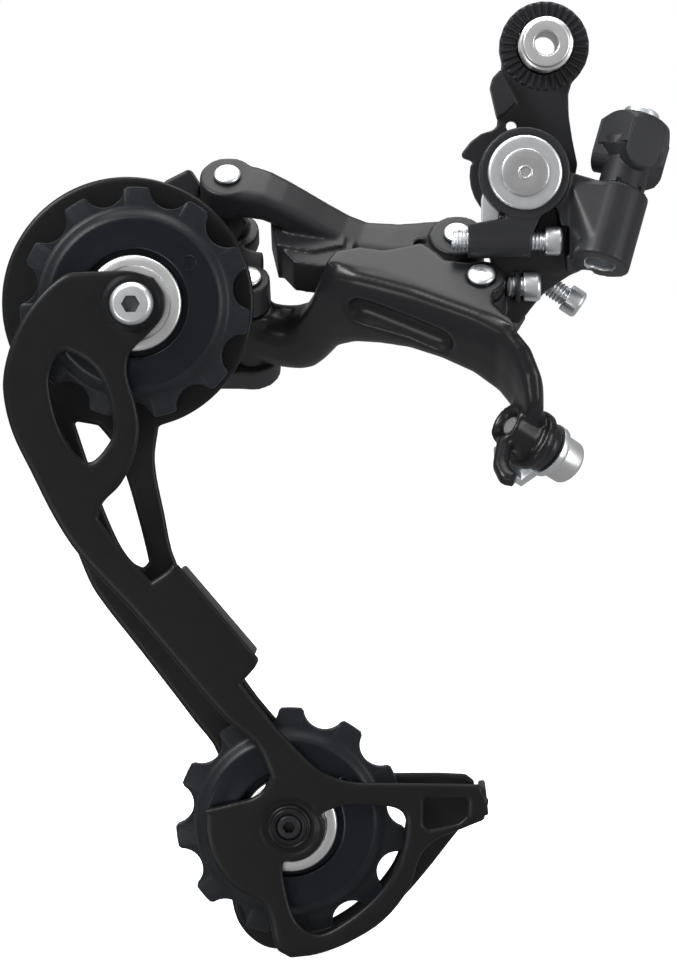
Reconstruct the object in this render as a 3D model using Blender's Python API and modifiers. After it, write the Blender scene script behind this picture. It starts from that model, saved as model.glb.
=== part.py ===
"""Long-cage rear bicycle derailleur, modelled as the separate pieces it comes apart into.

The wheel side faces -Y and the bicycle's rear faces +X. The origin is on the axis of the
mounting bolt, in the face of the hanger link that is drawn up against the frame's hanger.
Sizes below are in millimetres; MM turns them into Blender's metres.
"""
import math

import bmesh
import bpy
from mathutils import Matrix, Vector

MM = 0.001
GAP = 0.3                     # running clearance between neighbouring pieces

# Chain drive: half-inch chain on pulleys with eleven teeth
CHAIN_PITCH = 12.7
ROLLER_RADIUS = 4.0
TEETH = 11
TIP_RADIUS = 21.7
PITCH_RADIUS = CHAIN_PITCH / (2 * math.sin(math.pi / TEETH))

# Axes that run along Y, as (x, z)
HANGER = (0.0, 0.0)
PIVOT = (-4.0, -24.1)         # bracket on hanger link
CAGE = (-74.5, -41.2)         # cage on knuckle
GUIDE = (-76.8, -48.3)
TENSION = (-47.8, -146.4)

# Link frame: the world turned about X, so that its z runs along the four link pins.
# A point there is (x, u, h), and h = 0 is the plane of the front pin's head.
LINK_TILT = math.radians(44)
HEAD_PLANE = -22.0
BRACKET_INNER = (-12.0, -38.4)
BRACKET_SPREAD = (-4.3, 17.6)
LINK_RUN = (-44.3, 10.0)
PIN_RADIUS = 1.8
PIN_HEAD_RADIUS = 2.6
PIN_HEAD_HEIGHT = 0.9

# Depths along Y
LINK_FRONT, LINK_BACK = 0.0, 6.0
STOP_FRONT, STOP_BACK = -1.9, -0.3
HUB_FRONT, HUB_BACK = -12.5, -2.2
INNER_PLATE = (-16.0, -14.4)
OUTER_PLATE = (-5.6, -4.0)
PULLEY_MID = -10.0
BARREL = (-3.4, 21.5)

# Radii
HANGER_END = 8.5
PIVOT_END = 10.0
BOLT_THREAD = 5.0
HUB_RADIUS = 8.5
AXLE_RADIUS = 3.4
BARREL_RADIUS = 13.0
SCREW_RADIUS = 1.9
SCREW_HEAD = 2.7

PARTS = "rear_derailleur"


def clear_scene():
    """Empty the scene and make the collection that the pieces go in."""
    for item in list(bpy.data.objects):
        bpy.data.objects.remove(item, do_unlink=True)
    bpy.context.scene.collection.children.link(bpy.data.collections.new(PARTS))


def paint(name, colour, roughness, metallic):
    """A Principled material with one colour, roughness and metallic value."""
    made = bpy.data.materials.new(name)
    made.use_nodes = True
    shader = made.node_tree.nodes["Principled BSDF"]
    shader.inputs["Base Color"].default_value = (*colour, 1.0)
    shader.inputs["Roughness"].default_value = roughness
    shader.inputs["Metallic"].default_value = metallic
    return made


# ---------------------------------------------------------------- frames

def facing_wheel(x=0.0, y=0.0, z=0.0):
    """A frame whose own z points at the wheel (-Y), its own x along X and its y along Z."""
    return Matrix.Translation(Vector((x, y, z)) * MM) @ Matrix.Rotation(math.pi / 2, 4, "X")


def link_frame(x=0.0, u=0.0, h=0.0):
    """The frame of the tilted linkage, moved to the link point (x, u, h)."""
    tilt = Matrix.Rotation(LINK_TILT, 4, "X")
    return tilt @ Matrix.Translation(Vector((x, u, HEAD_PLANE + h)) * MM)


def along(point, direction):
    """A frame at a world point whose own z runs along a direction."""
    turn = Vector(direction).to_track_quat("Z", "Y").to_matrix().to_4x4()
    return Matrix.Translation(Vector(point) * MM) @ turn


def link_point(x, u, h):
    """World millimetres of the link point (x, u, h)."""
    return link_frame(x, u, h).translation / MM


def shifted(point, offset):
    """A plane point moved by a plane offset."""
    return (point[0] + offset[0], point[1] + offset[1])


BRACKET_OUTER = shifted(BRACKET_INNER, BRACKET_SPREAD)
KNUCKLE_INNER = shifted(BRACKET_INNER, LINK_RUN)
KNUCKLE_OUTER = shifted(BRACKET_OUTER, LINK_RUN)


# ---------------------------------------------------------------- solids

def keep(name, mesh, matrix=None):
    """Put a mesh in the parts collection as an object of its own."""
    made = bpy.data.objects.new(name, mesh)
    if matrix is not None:
        mesh.transform(matrix)
    bpy.data.collections[PARTS].objects.link(made)
    return made


def baked(source, name):
    """The object's evaluated shape as a plain mesh object; the source is removed."""
    bpy.context.view_layer.update()
    graph = bpy.context.evaluated_depsgraph_get()
    mesh = bpy.data.meshes.new_from_object(source.evaluated_get(graph))
    mesh.transform(source.matrix_world)
    bpy.data.objects.remove(source, do_unlink=True)
    weld = bmesh.new()
    weld.from_mesh(mesh)
    bmesh.ops.remove_doubles(weld, verts=weld.verts, dist=0.00001)
    bmesh.ops.recalc_face_normals(weld, faces=weld.faces)
    weld.to_mesh(mesh)
    weld.free()
    mesh.name = name
    return keep(name, mesh)


def arc(centre, radius, start, end, steps):
    """Points of a circular arc in degrees, both ends included."""
    points = []
    for step in range(steps + 1):
        angle = math.radians(start + (end - start) * step / steps)
        points.append((centre[0] + radius * math.cos(angle), centre[1] + radius * math.sin(angle)))
    return points


def circle(centre, radius, steps=24):
    """Points of a whole circle."""
    return arc(centre, radius, 0, 360 - 360 / steps, steps - 1)


def plate(name, rings, thickness, frame, smooth=False, steps=3):
    """A flat piece: the first ring is its outline and the others are its openings.

    It is centred on the frame's plane. With smooth, a curve is drawn through each ring's points.
    """
    flat = bpy.data.curves.new(name, "CURVE")
    flat.dimensions = "2D"
    flat.fill_mode = "BOTH"
    flat.extrude = thickness / 2 * MM
    flat.resolution_u = steps
    for ring in rings:
        if smooth:
            spline = flat.splines.new("BEZIER")
            spline.bezier_points.add(len(ring) - 1)
            for knot, place in zip(spline.bezier_points, ring):
                knot.co = (place[0] * MM, place[1] * MM, 0)
                knot.handle_left_type = "AUTO"
                knot.handle_right_type = "AUTO"
        else:
            spline = flat.splines.new("POLY")
            spline.points.add(len(ring) - 1)
            for knot, place in zip(spline.points, ring):
                knot.co = (place[0] * MM, place[1] * MM, 0, 1)
        spline.use_cyclic_u = True
    source = bpy.data.objects.new(name, flat)
    bpy.data.collections[PARTS].objects.link(source)
    source.matrix_world = frame
    return baked(source, name)


def turned(name, profile, frame, steps=28):
    """A turned piece. The (radius, height) profile runs down its outer side, top to bottom."""
    mesh = bpy.data.meshes.new(name)
    points = [(radius * MM, 0, height * MM) for radius, height in profile]
    edges = [(step, step + 1) for step in range(len(points) - 1)]
    if profile[0][0] > 0:
        edges.append((len(points) - 1, 0))
    mesh.from_pydata(points, edges, [])
    source = bpy.data.objects.new(name, mesh)
    bpy.data.collections[PARTS].objects.link(source)
    screw = source.modifiers.new("Turn", "SCREW")
    screw.steps = steps
    screw.render_steps = steps
    screw.use_merge_vertices = True
    screw.merge_threshold = 0.00001
    source.matrix_world = frame
    return baked(source, name)


def rod(name, radius, low, high, frame, steps=24):
    """A plain round bar between two heights of the frame."""
    return turned(name, [(0, high), (radius, high), (radius, low), (0, low)], frame, steps)


def tube(name, outer, inner, low, high, frame, steps=28):
    """A plain round tube between two heights of the frame."""
    profile = [(inner, high), (outer, high), (outer, low), (inner, low)]
    return turned(name, profile, frame, steps)


def prism(name, radius, low, high, frame, sides=6):
    """A regular prism between two heights of the frame."""
    mesh = bpy.data.meshes.new(name)
    solid = bmesh.new()
    middle = Matrix.Translation((0, 0, (low + high) / 2 * MM))
    bmesh.ops.create_cone(solid, cap_ends=True, segments=sides, radius1=radius * MM,
                          radius2=radius * MM, depth=(high - low) * MM, matrix=middle)
    solid.to_mesh(mesh)
    solid.free()
    return keep(name, mesh, frame)


def block(name, low, high, frame=None):
    """A box between two corners."""
    mesh = bpy.data.meshes.new(name)
    solid = bmesh.new()
    bmesh.ops.create_cube(solid, size=1.0)
    size = Vector(high) - Vector(low)
    place = (Vector(high) + Vector(low)) / 2
    bmesh.ops.scale(solid, vec=size * MM, verts=solid.verts)
    bmesh.ops.translate(solid, vec=place * MM, verts=solid.verts)
    solid.to_mesh(mesh)
    solid.free()
    return keep(name, mesh, frame)


def wire(name, points, radius, sides=2):
    """A round wire through world points, with closed ends."""
    path = bpy.data.curves.new(name, "CURVE")
    path.dimensions = "3D"
    path.bevel_depth = radius * MM
    path.bevel_resolution = sides
    path.use_fill_caps = True
    spline = path.splines.new("POLY")
    spline.points.add(len(points) - 1)
    for knot, place in zip(spline.points, points):
        knot.co = (*(Vector(place) * MM), 1)
    source = bpy.data.objects.new(name, path)
    bpy.data.collections[PARTS].objects.link(source)
    return baked(source, name)


def swept(name, stations, frame, corner=0.55, sides=16):
    """A loft between unlike upright sections, for a forged arm.

    A station is (x, u, half width, top, bottom): the arm's middle there, and its section's size
    across the run and along the pins.
    """
    solid = bmesh.new()
    rings = []
    for index, (x, u, half, top, bottom) in enumerate(stations):
        before = stations[max(index - 1, 0)]
        after = stations[min(index + 1, len(stations) - 1)]
        run = Vector((after[0] - before[0], after[1] - before[1])).normalized()
        ring = []
        for side in range(sides):
            angle = 2 * math.pi * (side + 0.5) / sides
            across = half * math.copysign(abs(math.cos(angle)) ** corner, math.cos(angle))
            rise = (top - bottom) / 2 * math.copysign(abs(math.sin(angle)) ** corner, math.sin(angle))
            place = Vector((x - run.y * across, u + run.x * across, (top + bottom) / 2 + rise))
            ring.append(solid.verts.new(place * MM))
        rings.append(ring)
    for first, second in zip(rings, rings[1:]):
        for side in range(sides):
            after = (side + 1) % sides
            solid.faces.new((first[side], first[after], second[after], second[side]))
    solid.faces.new(rings[0])
    solid.faces.new(rings[-1])
    bmesh.ops.recalc_face_normals(solid, faces=solid.faces)
    mesh = bpy.data.meshes.new(name)
    solid.to_mesh(mesh)
    solid.free()
    return keep(name, mesh, frame)


def joined(name, body, others, operation="UNION"):
    """The body with the others joined to it or, with DIFFERENCE, cut out of it."""
    for other in others:
        merge = body.modifiers.new("Merge", "BOOLEAN")
        merge.operation = operation
        merge.solver = "EXACT"
        merge.object = other
        body = baked(body, name)
        bpy.data.objects.remove(other, do_unlink=True)
    return body


def cut(name, body, cutters):
    """The body with the cutters taken out of it."""
    return joined(name, body, cutters, "DIFFERENCE")


def finish(piece, material, angle=32):
    """Give a piece its material and smooth its round faces."""
    piece.data.materials.clear()
    piece.data.materials.append(material)
    for face in piece.data.polygons:
        face.use_smooth = True
    piece.data.set_sharp_from_angle(angle=math.radians(angle))
    return piece


# ---------------------------------------------------------------- hanger link and its pivot

def hanger_link(black):
    """The forged link between the frame's hanger and the bracket, with its stop lug and claw."""
    depth = LINK_BACK - LINK_FRONT
    outline = arc(HANGER, HANGER_END, -38, 200, 16)
    outline += [(-8.2, -5.4), (-8.8, -14.8), (-9.6, -15.7), (-11.9, -16.4), (-13.9, -17.9)]
    outline += [(-15.6, -20.1), (-15.3, -20.9), (-13.2, -21.6)]
    outline += arc(PIVOT, PIVOT_END, 170, 358, 16)
    outline += [(6.4, -22.2), (5.4, -17.5), (4.7, -13.0), (4.6, -9.0), (5.2, -6.9)]
    frame = facing_wheel(0, depth / 2, 0)
    body = plate("hanger_link", [outline], depth, frame)
    lug_outline = [(-8.4, -4.6), (-9.9, -6.2), (-10.3, -7.8), (-9.0, -13.4), (-8.0, -13.2), (-5.4, -10.6)]
    lug = plate("lug", [lug_outline], 9.0, facing_wheel(0, -1.5, 0))
    body = joined("hanger_link", body, [lug])
    bolt_hole = rod("bolt_hole", BOLT_THREAD + GAP, -10, 10, facing_wheel(0, 0, 0), 26)
    axle_hole = rod("axle_hole", AXLE_RADIUS + GAP, -10, 10, facing_wheel(PIVOT[0], 0, PIVOT[1]))
    peg_hole = rod("peg_hole", 1.1, -10, 10, facing_wheel(-6.1, 0, -15.0), 16)
    body = cut("hanger_link", body, [bolt_hole, axle_hole, peg_hole])
    return finish(body, black)


def mounting_bolt(steel):
    """The hollow bolt that holds the derailleur to the hanger, with a hexagon socket behind."""
    tip, seat, back = 9.0, -LINK_BACK - GAP, -LINK_BACK - 4.6
    bore = 2.2
    profile = [(bore, tip), (4.5, tip), (BOLT_THREAD, tip - 0.6), (BOLT_THREAD, seat), (7.6, seat),
               (7.6, back + 0.8), (6.8, back), (bore, back)]
    body = turned("mounting_bolt", profile, facing_wheel(), 26)
    socket = prism("socket", 2.9, back - 1, back + 3.6, facing_wheel())
    return finish(cut("mounting_bolt", body, [socket]), steel)


def pivot_axle(steel):
    """The axle riveted into the hanger link, on which the bracket turns."""
    front, back = 14.2, -LINK_BACK - 1.8
    profile = [(0, front), (4.3, front), (4.5, front - 0.15), (4.5, front - 0.4)]
    profile += [(AXLE_RADIUS, front - 0.4), (AXLE_RADIUS, -LINK_BACK - GAP), (5.6, -LINK_BACK - GAP)]
    profile += [(5.6, back + 0.4), (5.0, back), (0, back)]
    return finish(turned("pivot_axle", profile, facing_wheel(PIVOT[0], 0, PIVOT[1]), 26), steel)


def pivot_washer(steel):
    """The flat washer between the axle's head and the bracket's hub."""
    frame = facing_wheel(PIVOT[0], 0, PIVOT[1])
    profile = [(AXLE_RADIUS + GAP, 13.5), (6.6, 13.5), (6.9, 13.3), (6.9, 12.8), (AXLE_RADIUS + GAP, 12.8)]
    return finish(turned("pivot_washer", profile, frame, 26), steel)


def pivot_bushing(bronze):
    """The plain bearing pressed into the bracket's hub."""
    frame = facing_wheel(PIVOT[0], 0, PIVOT[1])
    return finish(tube("pivot_bushing", 4.9, AXLE_RADIUS + GAP, -HUB_BACK + 0.2, 12.3, frame), bronze)


def stopper_plate(steel):
    """The flat stop on the axle that the B-tension screw bears on."""
    outline = arc(PIVOT, 7.2, -70, 190, 14)
    outline += [(-11.9, -29.0), (-11.7, -36.0), (-9.8, -41.4), (-7.9, -41.4), (-7.9, -35.0)]
    hole = circle(PIVOT, AXLE_RADIUS + GAP, 16)
    frame = facing_wheel(0, (STOP_FRONT + STOP_BACK) / 2, 0)
    return finish(plate("stopper_plate", [outline, hole], STOP_BACK - STOP_FRONT, frame), steel)


# ---------------------------------------------------------------- bracket

LIMIT_HIGH = ((-17.5, -9.0, -36.7), (1.0, 0.0, 0.0))
LIMIT_LOW = ((-7.0, -7.5, -45.3), (1.0, 0.0, 0.0))
TENSION_SCREW = ((-6.2, -1.1, -40.4), (0.839, 0.0, -0.545))
ADJUSTER = ((14.2, -6.8, -26.8), (0.268, 0.358, 0.894))
LIMIT_HIGH_LENGTH = 17.4
LIMIT_LOW_LENGTH = 2.9
TENSION_SCREW_LENGTH = 12.5


def bracket_solids():
    """The rough solids that make up the bracket, before its bores."""
    hub = rod("hub", HUB_RADIUS, -HUB_BACK, -HUB_FRONT, facing_wheel(PIVOT[0], 0, PIVOT[1]), 26)
    wall_outline = [(-8.5, -30.0), (-2.0, -20.0), (4.8, -24.5), (10.4, -26.4), (8.0, -36.0), (6.6, -42.4),
                    (4.9, -43.1), (0.2, -46.3), (-5.1, -47.0), (-9.8, -40.0)]
    wall = plate("wall", [wall_outline], 3.7, facing_wheel(0, -4.05, 0))
    shoulder_outline = [(0.5, -24.5), (5.1, -24.1), (11.3, -25.9), (16.6, -28.4), (17.4, -30.6),
                        (16.0, -38.4), (14.2, -41.2), (7.7, -41.9), (4.2, -42.8), (3.4, -36.0)]
    shoulder = plate("shoulder", [shoulder_outline], 8.6, facing_wheel(0, -6.5, 0))
    seat = rod("seat", 5.6, -16.0, -0.6, along(*ADJUSTER), 24)
    low_boss = rod("low_boss", 2.85, 1.3, 2.6, along(*LIMIT_LOW), 18)
    screw_boss = rod("screw_boss", 3.3, 3.0, 14.8, along(*LIMIT_HIGH), 16)
    roof_outline = [(-14.4, -33.6), (-14.4, -36.5), (-3.0, -36.5), (-0.5, -31.2)]
    roof = plate("roof", [roof_outline], 6.2, facing_wheel(0, -9.0, 0))
    lower_outline = [(4.0, -36.2), (4.9, -43.1), (2.7, -44.2), (0.2, -46.3), (-2.1, -48.9), (-4.6, -52.2),
                     (-8.5, -52.0), (-10.0, -44.0), (-10.0, -36.2)]
    lower = plate("lower", [lower_outline], 11.9, facing_wheel(0, 0.05, 0))
    return hub, [wall, shoulder, seat, screw_boss, low_boss, roof, lower]


def bracket_lugs():
    """The bosses that carry the two link pins, and the web that ties them together."""
    inner = rod("inner_boss", 4.6, -15.5, -4.6, link_frame(*BRACKET_INNER), 26)
    outer = rod("outer_boss", 5.2, -28.0, -13.9, link_frame(*BRACKET_OUTER), 24)
    web_outline = [(-14.6, -34.8), (-8.6, -37.4), (-4.0, -37.0), (-2.0, -30.0), (-8.0, -27.0)]
    web = plate("web", [web_outline], 9.0, link_frame(0, 0, -10.5))
    tie_outline = [(-16.4, -34.4), (-6.0, -36.6), (-3.0, -30.0), (-6.0, -22.0), (-14.0, -16.5),
                   (-20.4, -18.5)]
    tie = plate("tie", [tie_outline], 5.0, link_frame(0, 0, -18.5))
    return [web, inner, tie, outer]


def bracket_body(black):
    """The bracket: hub, limit-screw boss, cable-adjuster seat and the lugs for the link pins."""
    hub, solids = bracket_solids()
    body = joined("bracket_body", hub, solids + bracket_lugs())
    pivot = facing_wheel(PIVOT[0], 0, PIVOT[1])
    cutters = [rod("bore", 4.9 + GAP, -10, 20, pivot, 26),
               rod("stop_room", PIVOT_END + 0.6, -8.0, -STOP_FRONT + GAP, pivot, 26),
               block("stop_slot", (-22, STOP_FRONT - GAP, -43.0), (-7.5, 0.2, -28))]
    bore_high = rod("high", SCREW_RADIUS + GAP, -4, LIMIT_HIGH_LENGTH + 10, along(*LIMIT_HIGH), 16)
    bore_low = rod("low", SCREW_RADIUS + GAP, -1.0, 12, along(*LIMIT_LOW), 16)
    pocket_low = rod("pocket", SCREW_HEAD + 0.5, LIMIT_LOW_LENGTH - 0.4, 16, along(*LIMIT_LOW), 16)
    pocket_high = rod("pocket_high", SCREW_HEAD + 0.5, 15.6, 26, along(*LIMIT_HIGH), 16)
    bore_tension = rod("tension", SCREW_RADIUS + GAP, -6, 20, along(*TENSION_SCREW), 16)
    cable_bore = rod("cable", 2.75, -30, 10, along(*ADJUSTER), 20)
    pin_inner = rod("pin_inner", PIN_RADIUS + GAP, -30, 10, link_frame(*BRACKET_INNER), 16)
    pin_outer = rod("pin_outer", PIN_RADIUS + GAP, -40, 10, link_frame(*BRACKET_OUTER), 16)
    flange_room = rod("flange_room", 5.2, -4.5, -0.8, link_frame(*BRACKET_INNER), 26)
    head_room = rod("head_room", 3.2, -1.0, 6, link_frame(*BRACKET_INNER), 20)
    knob_room = rod("knob_room", 9.2, -1.2, 20, along(*ADJUSTER), 28)
    cutters += [bore_high, bore_low, pocket_low, pocket_high, bore_tension, cable_bore]
    cutters += [pin_inner, pin_outer, flange_room, head_room, knob_room]
    return finish(cut("bracket_body", body, cutters), black)


def screw(name, steel, place, length):
    """A cap screw with a hexagon socket; its tip is at the place's point."""
    head = 3.3
    frame = along(*place)
    profile = [(0, length + head), (SCREW_HEAD - 0.4, length + head), (SCREW_HEAD, length + head - 0.4),
               (SCREW_HEAD, length), (SCREW_RADIUS, length), (SCREW_RADIUS, 0.5), (1.4, 0), (0, 0)]
    body = turned(name, profile, frame, 16)
    socket = prism("socket", 1.4, length + 1.4, length + head + 1, frame)
    return finish(cut(name, body, [socket]), steel)


def adjuster_stud(steel):
    """The threaded tube that the cable adjuster turns on."""
    return finish(tube("adjuster_stud", 2.4, 1.1, -11.0, 9.0, along(*ADJUSTER), 16), steel)


def adjuster_knob(plastic):
    """The six-sided knob of the cable adjuster, with its round neck."""
    frame = along(*ADJUSTER)
    neck = rod("neck", 4.4, -0.9, 4.0, frame, 24)
    grip = prism("grip", 7.1, 2.6, 13.8, frame)
    crown = turned("crown", [(0, 14.2), (4.6, 14.2), (7.6, 11.2), (7.6, 4.4), (5.4, 2.2), (0, 2.2)], frame)
    grip = joined("grip", grip, [crown], "INTERSECT")
    body = joined("adjuster_knob", neck, [grip])
    bore = rod("bore", 2.4 + GAP, -2, 10.5, frame, 16)
    top_bore = rod("top_bore", 3.0, 9.3, 16, frame, 16)
    return finish(cut("adjuster_knob", body, [bore, top_bore]), plastic)


def adjuster_ferrule(steel):
    """The pressed cup in the adjuster's top that takes the end of the cable housing."""
    profile = [(2.55, 15.8), (3.3, 15.8), (3.4, 15.5), (3.4, 14.5), (2.7, 14.5), (2.7, 9.7), (1.0, 9.7),
               (1.0, 10.4), (2.55, 10.4)]
    return finish(turned("adjuster_ferrule", profile, along(*ADJUSTER), 24), steel)


# ---------------------------------------------------------------- linkage

CLAMP_RING = (-7.6, -60.3, -17.4)
CLAMP_AXIS = (0.733, 0.0, -0.680)
CLAMP_BOSS = 7.2


def clamp_frame(offset=0.0):
    """A frame on the cable clamp's axis, measured from its near ring."""
    turn = Vector(CLAMP_AXIS).to_track_quat("Z", "Y").to_matrix().to_4x4()
    return link_frame(*CLAMP_RING) @ turn @ Matrix.Translation((0, 0, offset * MM))


def inner_link(black):
    """The forged front link, with the arm that carries the cable clamp."""
    frame = link_frame()
    wall = [(-57.0, -28.2, 4.2, -18.9, -31.6), (-53.0, -29.2, 4.6, -19.2, -31.7),
            (-50.2, -30.0, 4.8, -19.3, -31.7), (-48.0, -30.4, 4.8, -18.8, -31.7),
            (-45.5, -31.3, 4.6, -16.6, -31.4), (-43.2, -32.2, 4.2, -11.0, -30.4),
            (-41.2, -33.2, 3.8, -4.0, -27.6), (-38.6, -34.6, 3.4, -1.6, -22.6),
            (-35.0, -36.4, 3.2, -1.2, -19.6), (-30.0, -38.2, 3.1, -1.2, -18.2),
            (-24.5, -40.4, 3.0, -1.2, -17.2), (-18.5, -43.6, 2.8, -1.2, -16.8),
            (-12.5, -47.0, 2.5, -1.3, -17.4), (-7.6, -50.4, 2.3, -1.8, -19.2),
            (-4.4, -54.4, 2.3, -3.4, -20.8), (-2.6, -58.2, 2.2, -6.4, -22.4),
            (-2.2, -61.4, 1.7, -11.0, -23.0)]
    body = swept("inner_link", wall, frame, 0.7)
    flange_outline = [(-41.4, -34.6), (-39.6, -31.2), (-34.8, -29.9), (-30.0, -30.8), (-25.0, -29.3),
                      (-22.7, -28.9), (-20.3, -31.2), (-18.4, -33.6)]
    flange_outline += arc(BRACKET_INNER, 4.6, 118, -62, 10)
    flange_outline += [(-9.6, -45.0), (-6.4, -49.4), (-5.4, -52.2), (-9.6, -49.0), (-18.5, -43.6),
                       (-25.3, -39.8), (-32.0, -36.4), (-37.0, -35.6)]
    flange = plate("flange", [flange_outline], 3.0, link_frame(0, 0, -2.7))
    barrel = rod("barrel", 4.6, -31.65, -18.7, link_frame(*KNUCKLE_INNER), 26)
    boss = rod("boss", 4.1, 0, CLAMP_BOSS + 0.6, clamp_frame(), 24)
    pad = plate("pad", [circle((0, 0), 6.0, 16)], 2.2, clamp_frame(CLAMP_BOSS))
    finger = swept("finger", [(-7.0, -61.0, 1.6, -16.6, -20.6), (-7.9, -65.0, 1.5, -17.6, -21.0),
                              (-8.6, -69.0, 1.5, -18.4, -21.4), (-7.6, -71.6, 1.6, -18.6, -21.6),
                              (-5.8, -72.2, 1.5, -18.8, -21.4)], frame, sides=12)
    body = joined("inner_link", body, [flange, barrel, pad, boss, finger])
    pocket = turned("pocket", capsule(3.3, 15.5), channel_frame(), 20)
    cutters = [rod("pin", PIN_RADIUS + GAP, -6, 2, link_frame(*BRACKET_INNER), 16),
               rod("pin", PIN_RADIUS + GAP, -35, -16, link_frame(*KNUCKLE_INNER), 16),
               rod("bolt", 1.9 + GAP, -2, CLAMP_BOSS + 3, clamp_frame(), 16),
               rod("mouth", 3.0, -1, 0.8, clamp_frame(), 16),
               pocket]
    return finish(cut("inner_link", body, cutters), black, 40)


def capsule(radius, length):
    """The profile of a round-ended bar centred on its frame."""
    top = [(radius * math.sin(math.radians(a)), length / 2 + radius * math.cos(math.radians(a)))
           for a in range(0, 91, 18)]
    return top + [(r, -h) for r, h in reversed(top)]


def channel_frame():
    """The frame of the long hollow in the front of the inner link."""
    start = Vector((-34.5, -40.6, -9.0))
    end = Vector((-20.5, -46.8, -10.6))
    turn = (start - end).to_track_quat("Z", "Y").to_matrix().to_4x4()
    middle = (start + end) / 2
    return link_frame(*middle) @ turn


def outer_link(black):
    """The rear link of the parallelogram."""
    rise = [(-60.6, -10.8, 5.0, -1.3, -7.5), (-56.0, -11.9, 4.8, -1.2, -7.6),
            (-53.0, -12.6, 4.4, -1.5, -7.9),
            (-49.5, -13.4, 4.2, -3.0, -9.2), (-46.0, -14.1, 4.1, -5.0, -11.2),
            (-42.0, -15.0, 4.1, -7.4, -13.7),
            (-38.0, -15.9, 4.1, -9.6, -16.0), (-34.5, -16.7, 4.3, -10.9, -17.2),
            (-28.5, -18.1, 4.7, -10.4, -16.6),
            (-23.5, -19.2, 4.9, -9.2, -13.4), (-18.0, -20.4, 5.0, -7.5, -13.4)]
    body = swept("outer_link", rise, link_frame(), 0.35)
    near = rod("near", 5.4, -13.5, -7.2, link_frame(*BRACKET_OUTER), 26)
    far = rod("far", 5.4, -7.6, -1.2, link_frame(*KNUCKLE_OUTER), 26)
    web_outline = [(-52.6, -13.0), (-38.0, -16.5), (-38.0, -21.0), (-44.0, -22.6), (-51.0, -21.0)]
    web = plate("web", [web_outline], 9.0, link_frame(0, 0, -14.2))
    body = joined("outer_link", body, [web, near, far])
    cutters = [rod("pin", PIN_RADIUS + GAP, -16, 0, link_frame(*BRACKET_OUTER), 16),
               rod("pin", PIN_RADIUS + GAP, -10, 2, link_frame(*KNUCKLE_OUTER), 16),
               rod("peg", 1.1, -20, -6, link_frame(-23.4, -20.9), 14)]
    return finish(cut("outer_link", body, cutters), black)


def link_pin(name, steel, place, head, foot):
    """A pin of the parallelogram: a low domed head and a plain shank down to its foot."""
    profile = [(0, head), (2.0, head), (PIN_HEAD_RADIUS, head - 0.4),
               (PIN_HEAD_RADIUS, head - PIN_HEAD_HEIGHT), (PIN_RADIUS, head - PIN_HEAD_HEIGHT),
               (PIN_RADIUS, foot), (0, foot)]
    return finish(turned(name, profile, link_frame(*place), 18), steel)


def clamp_bolt(steel):
    """The bolt of the cable clamp, with its round head and hexagon socket."""
    low, high = 1.2, CLAMP_BOSS + 5.4
    profile = [(0, high + 4.6), (3.7, high + 4.6), (4.3, high + 3.9), (4.35, high), (1.9, high),
               (1.9, low), (0, low)]
    body = turned("cable_clamp_bolt", profile, clamp_frame(), 26)
    socket = prism("socket", 2.3, high + 2.0, high + 6, clamp_frame())
    return finish(cut("cable_clamp_bolt", body, [socket]), steel)


def clamp_spacer(black):
    """The black washer behind the cable clamp's plate."""
    low = CLAMP_BOSS + 1.4
    return finish(tube("cable_clamp_spacer", 4.9, 1.9 + GAP, low, low + 1.6, clamp_frame(), 24), black)


def clamp_plate(steel):
    """The plate that presses on the cable, with the tab that keeps it from turning."""
    middle = CLAMP_BOSS + 4.2
    body = plate("cable_clamp_plate", [circle((0, 0), 5.2, 24)], 1.4, clamp_frame(middle))
    tab = block("tab", (-3.4, -8.2, middle - 6.4), (2.2, -6.7, middle + 0.7), clamp_frame())
    strap = block("strap", (-3.4, -7.4, middle - 0.7), (2.2, -3.6, middle + 0.7), clamp_frame())
    body = joined("cable_clamp_plate", body, [strap, tab])
    hole = rod("hole", 1.9 + GAP, middle - 3, middle + 3, clamp_frame(), 16)
    return finish(cut("cable_clamp_plate", body, [hole]), steel)


def coil(radius, low, high, turns, steps, frame):
    """World points of a helix about the frame's z."""
    points = []
    for step in range(turns * steps + 1):
        angle = 2 * math.pi * step / steps
        rise = low + (high - low) * step / (turns * steps)
        local = Vector((radius * math.cos(angle), radius * math.sin(angle), rise)) * MM
        points.append((frame @ local) / MM)
    return points


def return_spring(steel):
    """The coil round the bracket's outer boss that swings the linkage outward."""
    turns = coil(6.2, -27.2, -21.9, 3, 12, link_frame(*BRACKET_OUTER))
    return finish(wire("return_spring", turns, 0.6, 1), steel)


# ---------------------------------------------------------------- knuckle and cage

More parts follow.
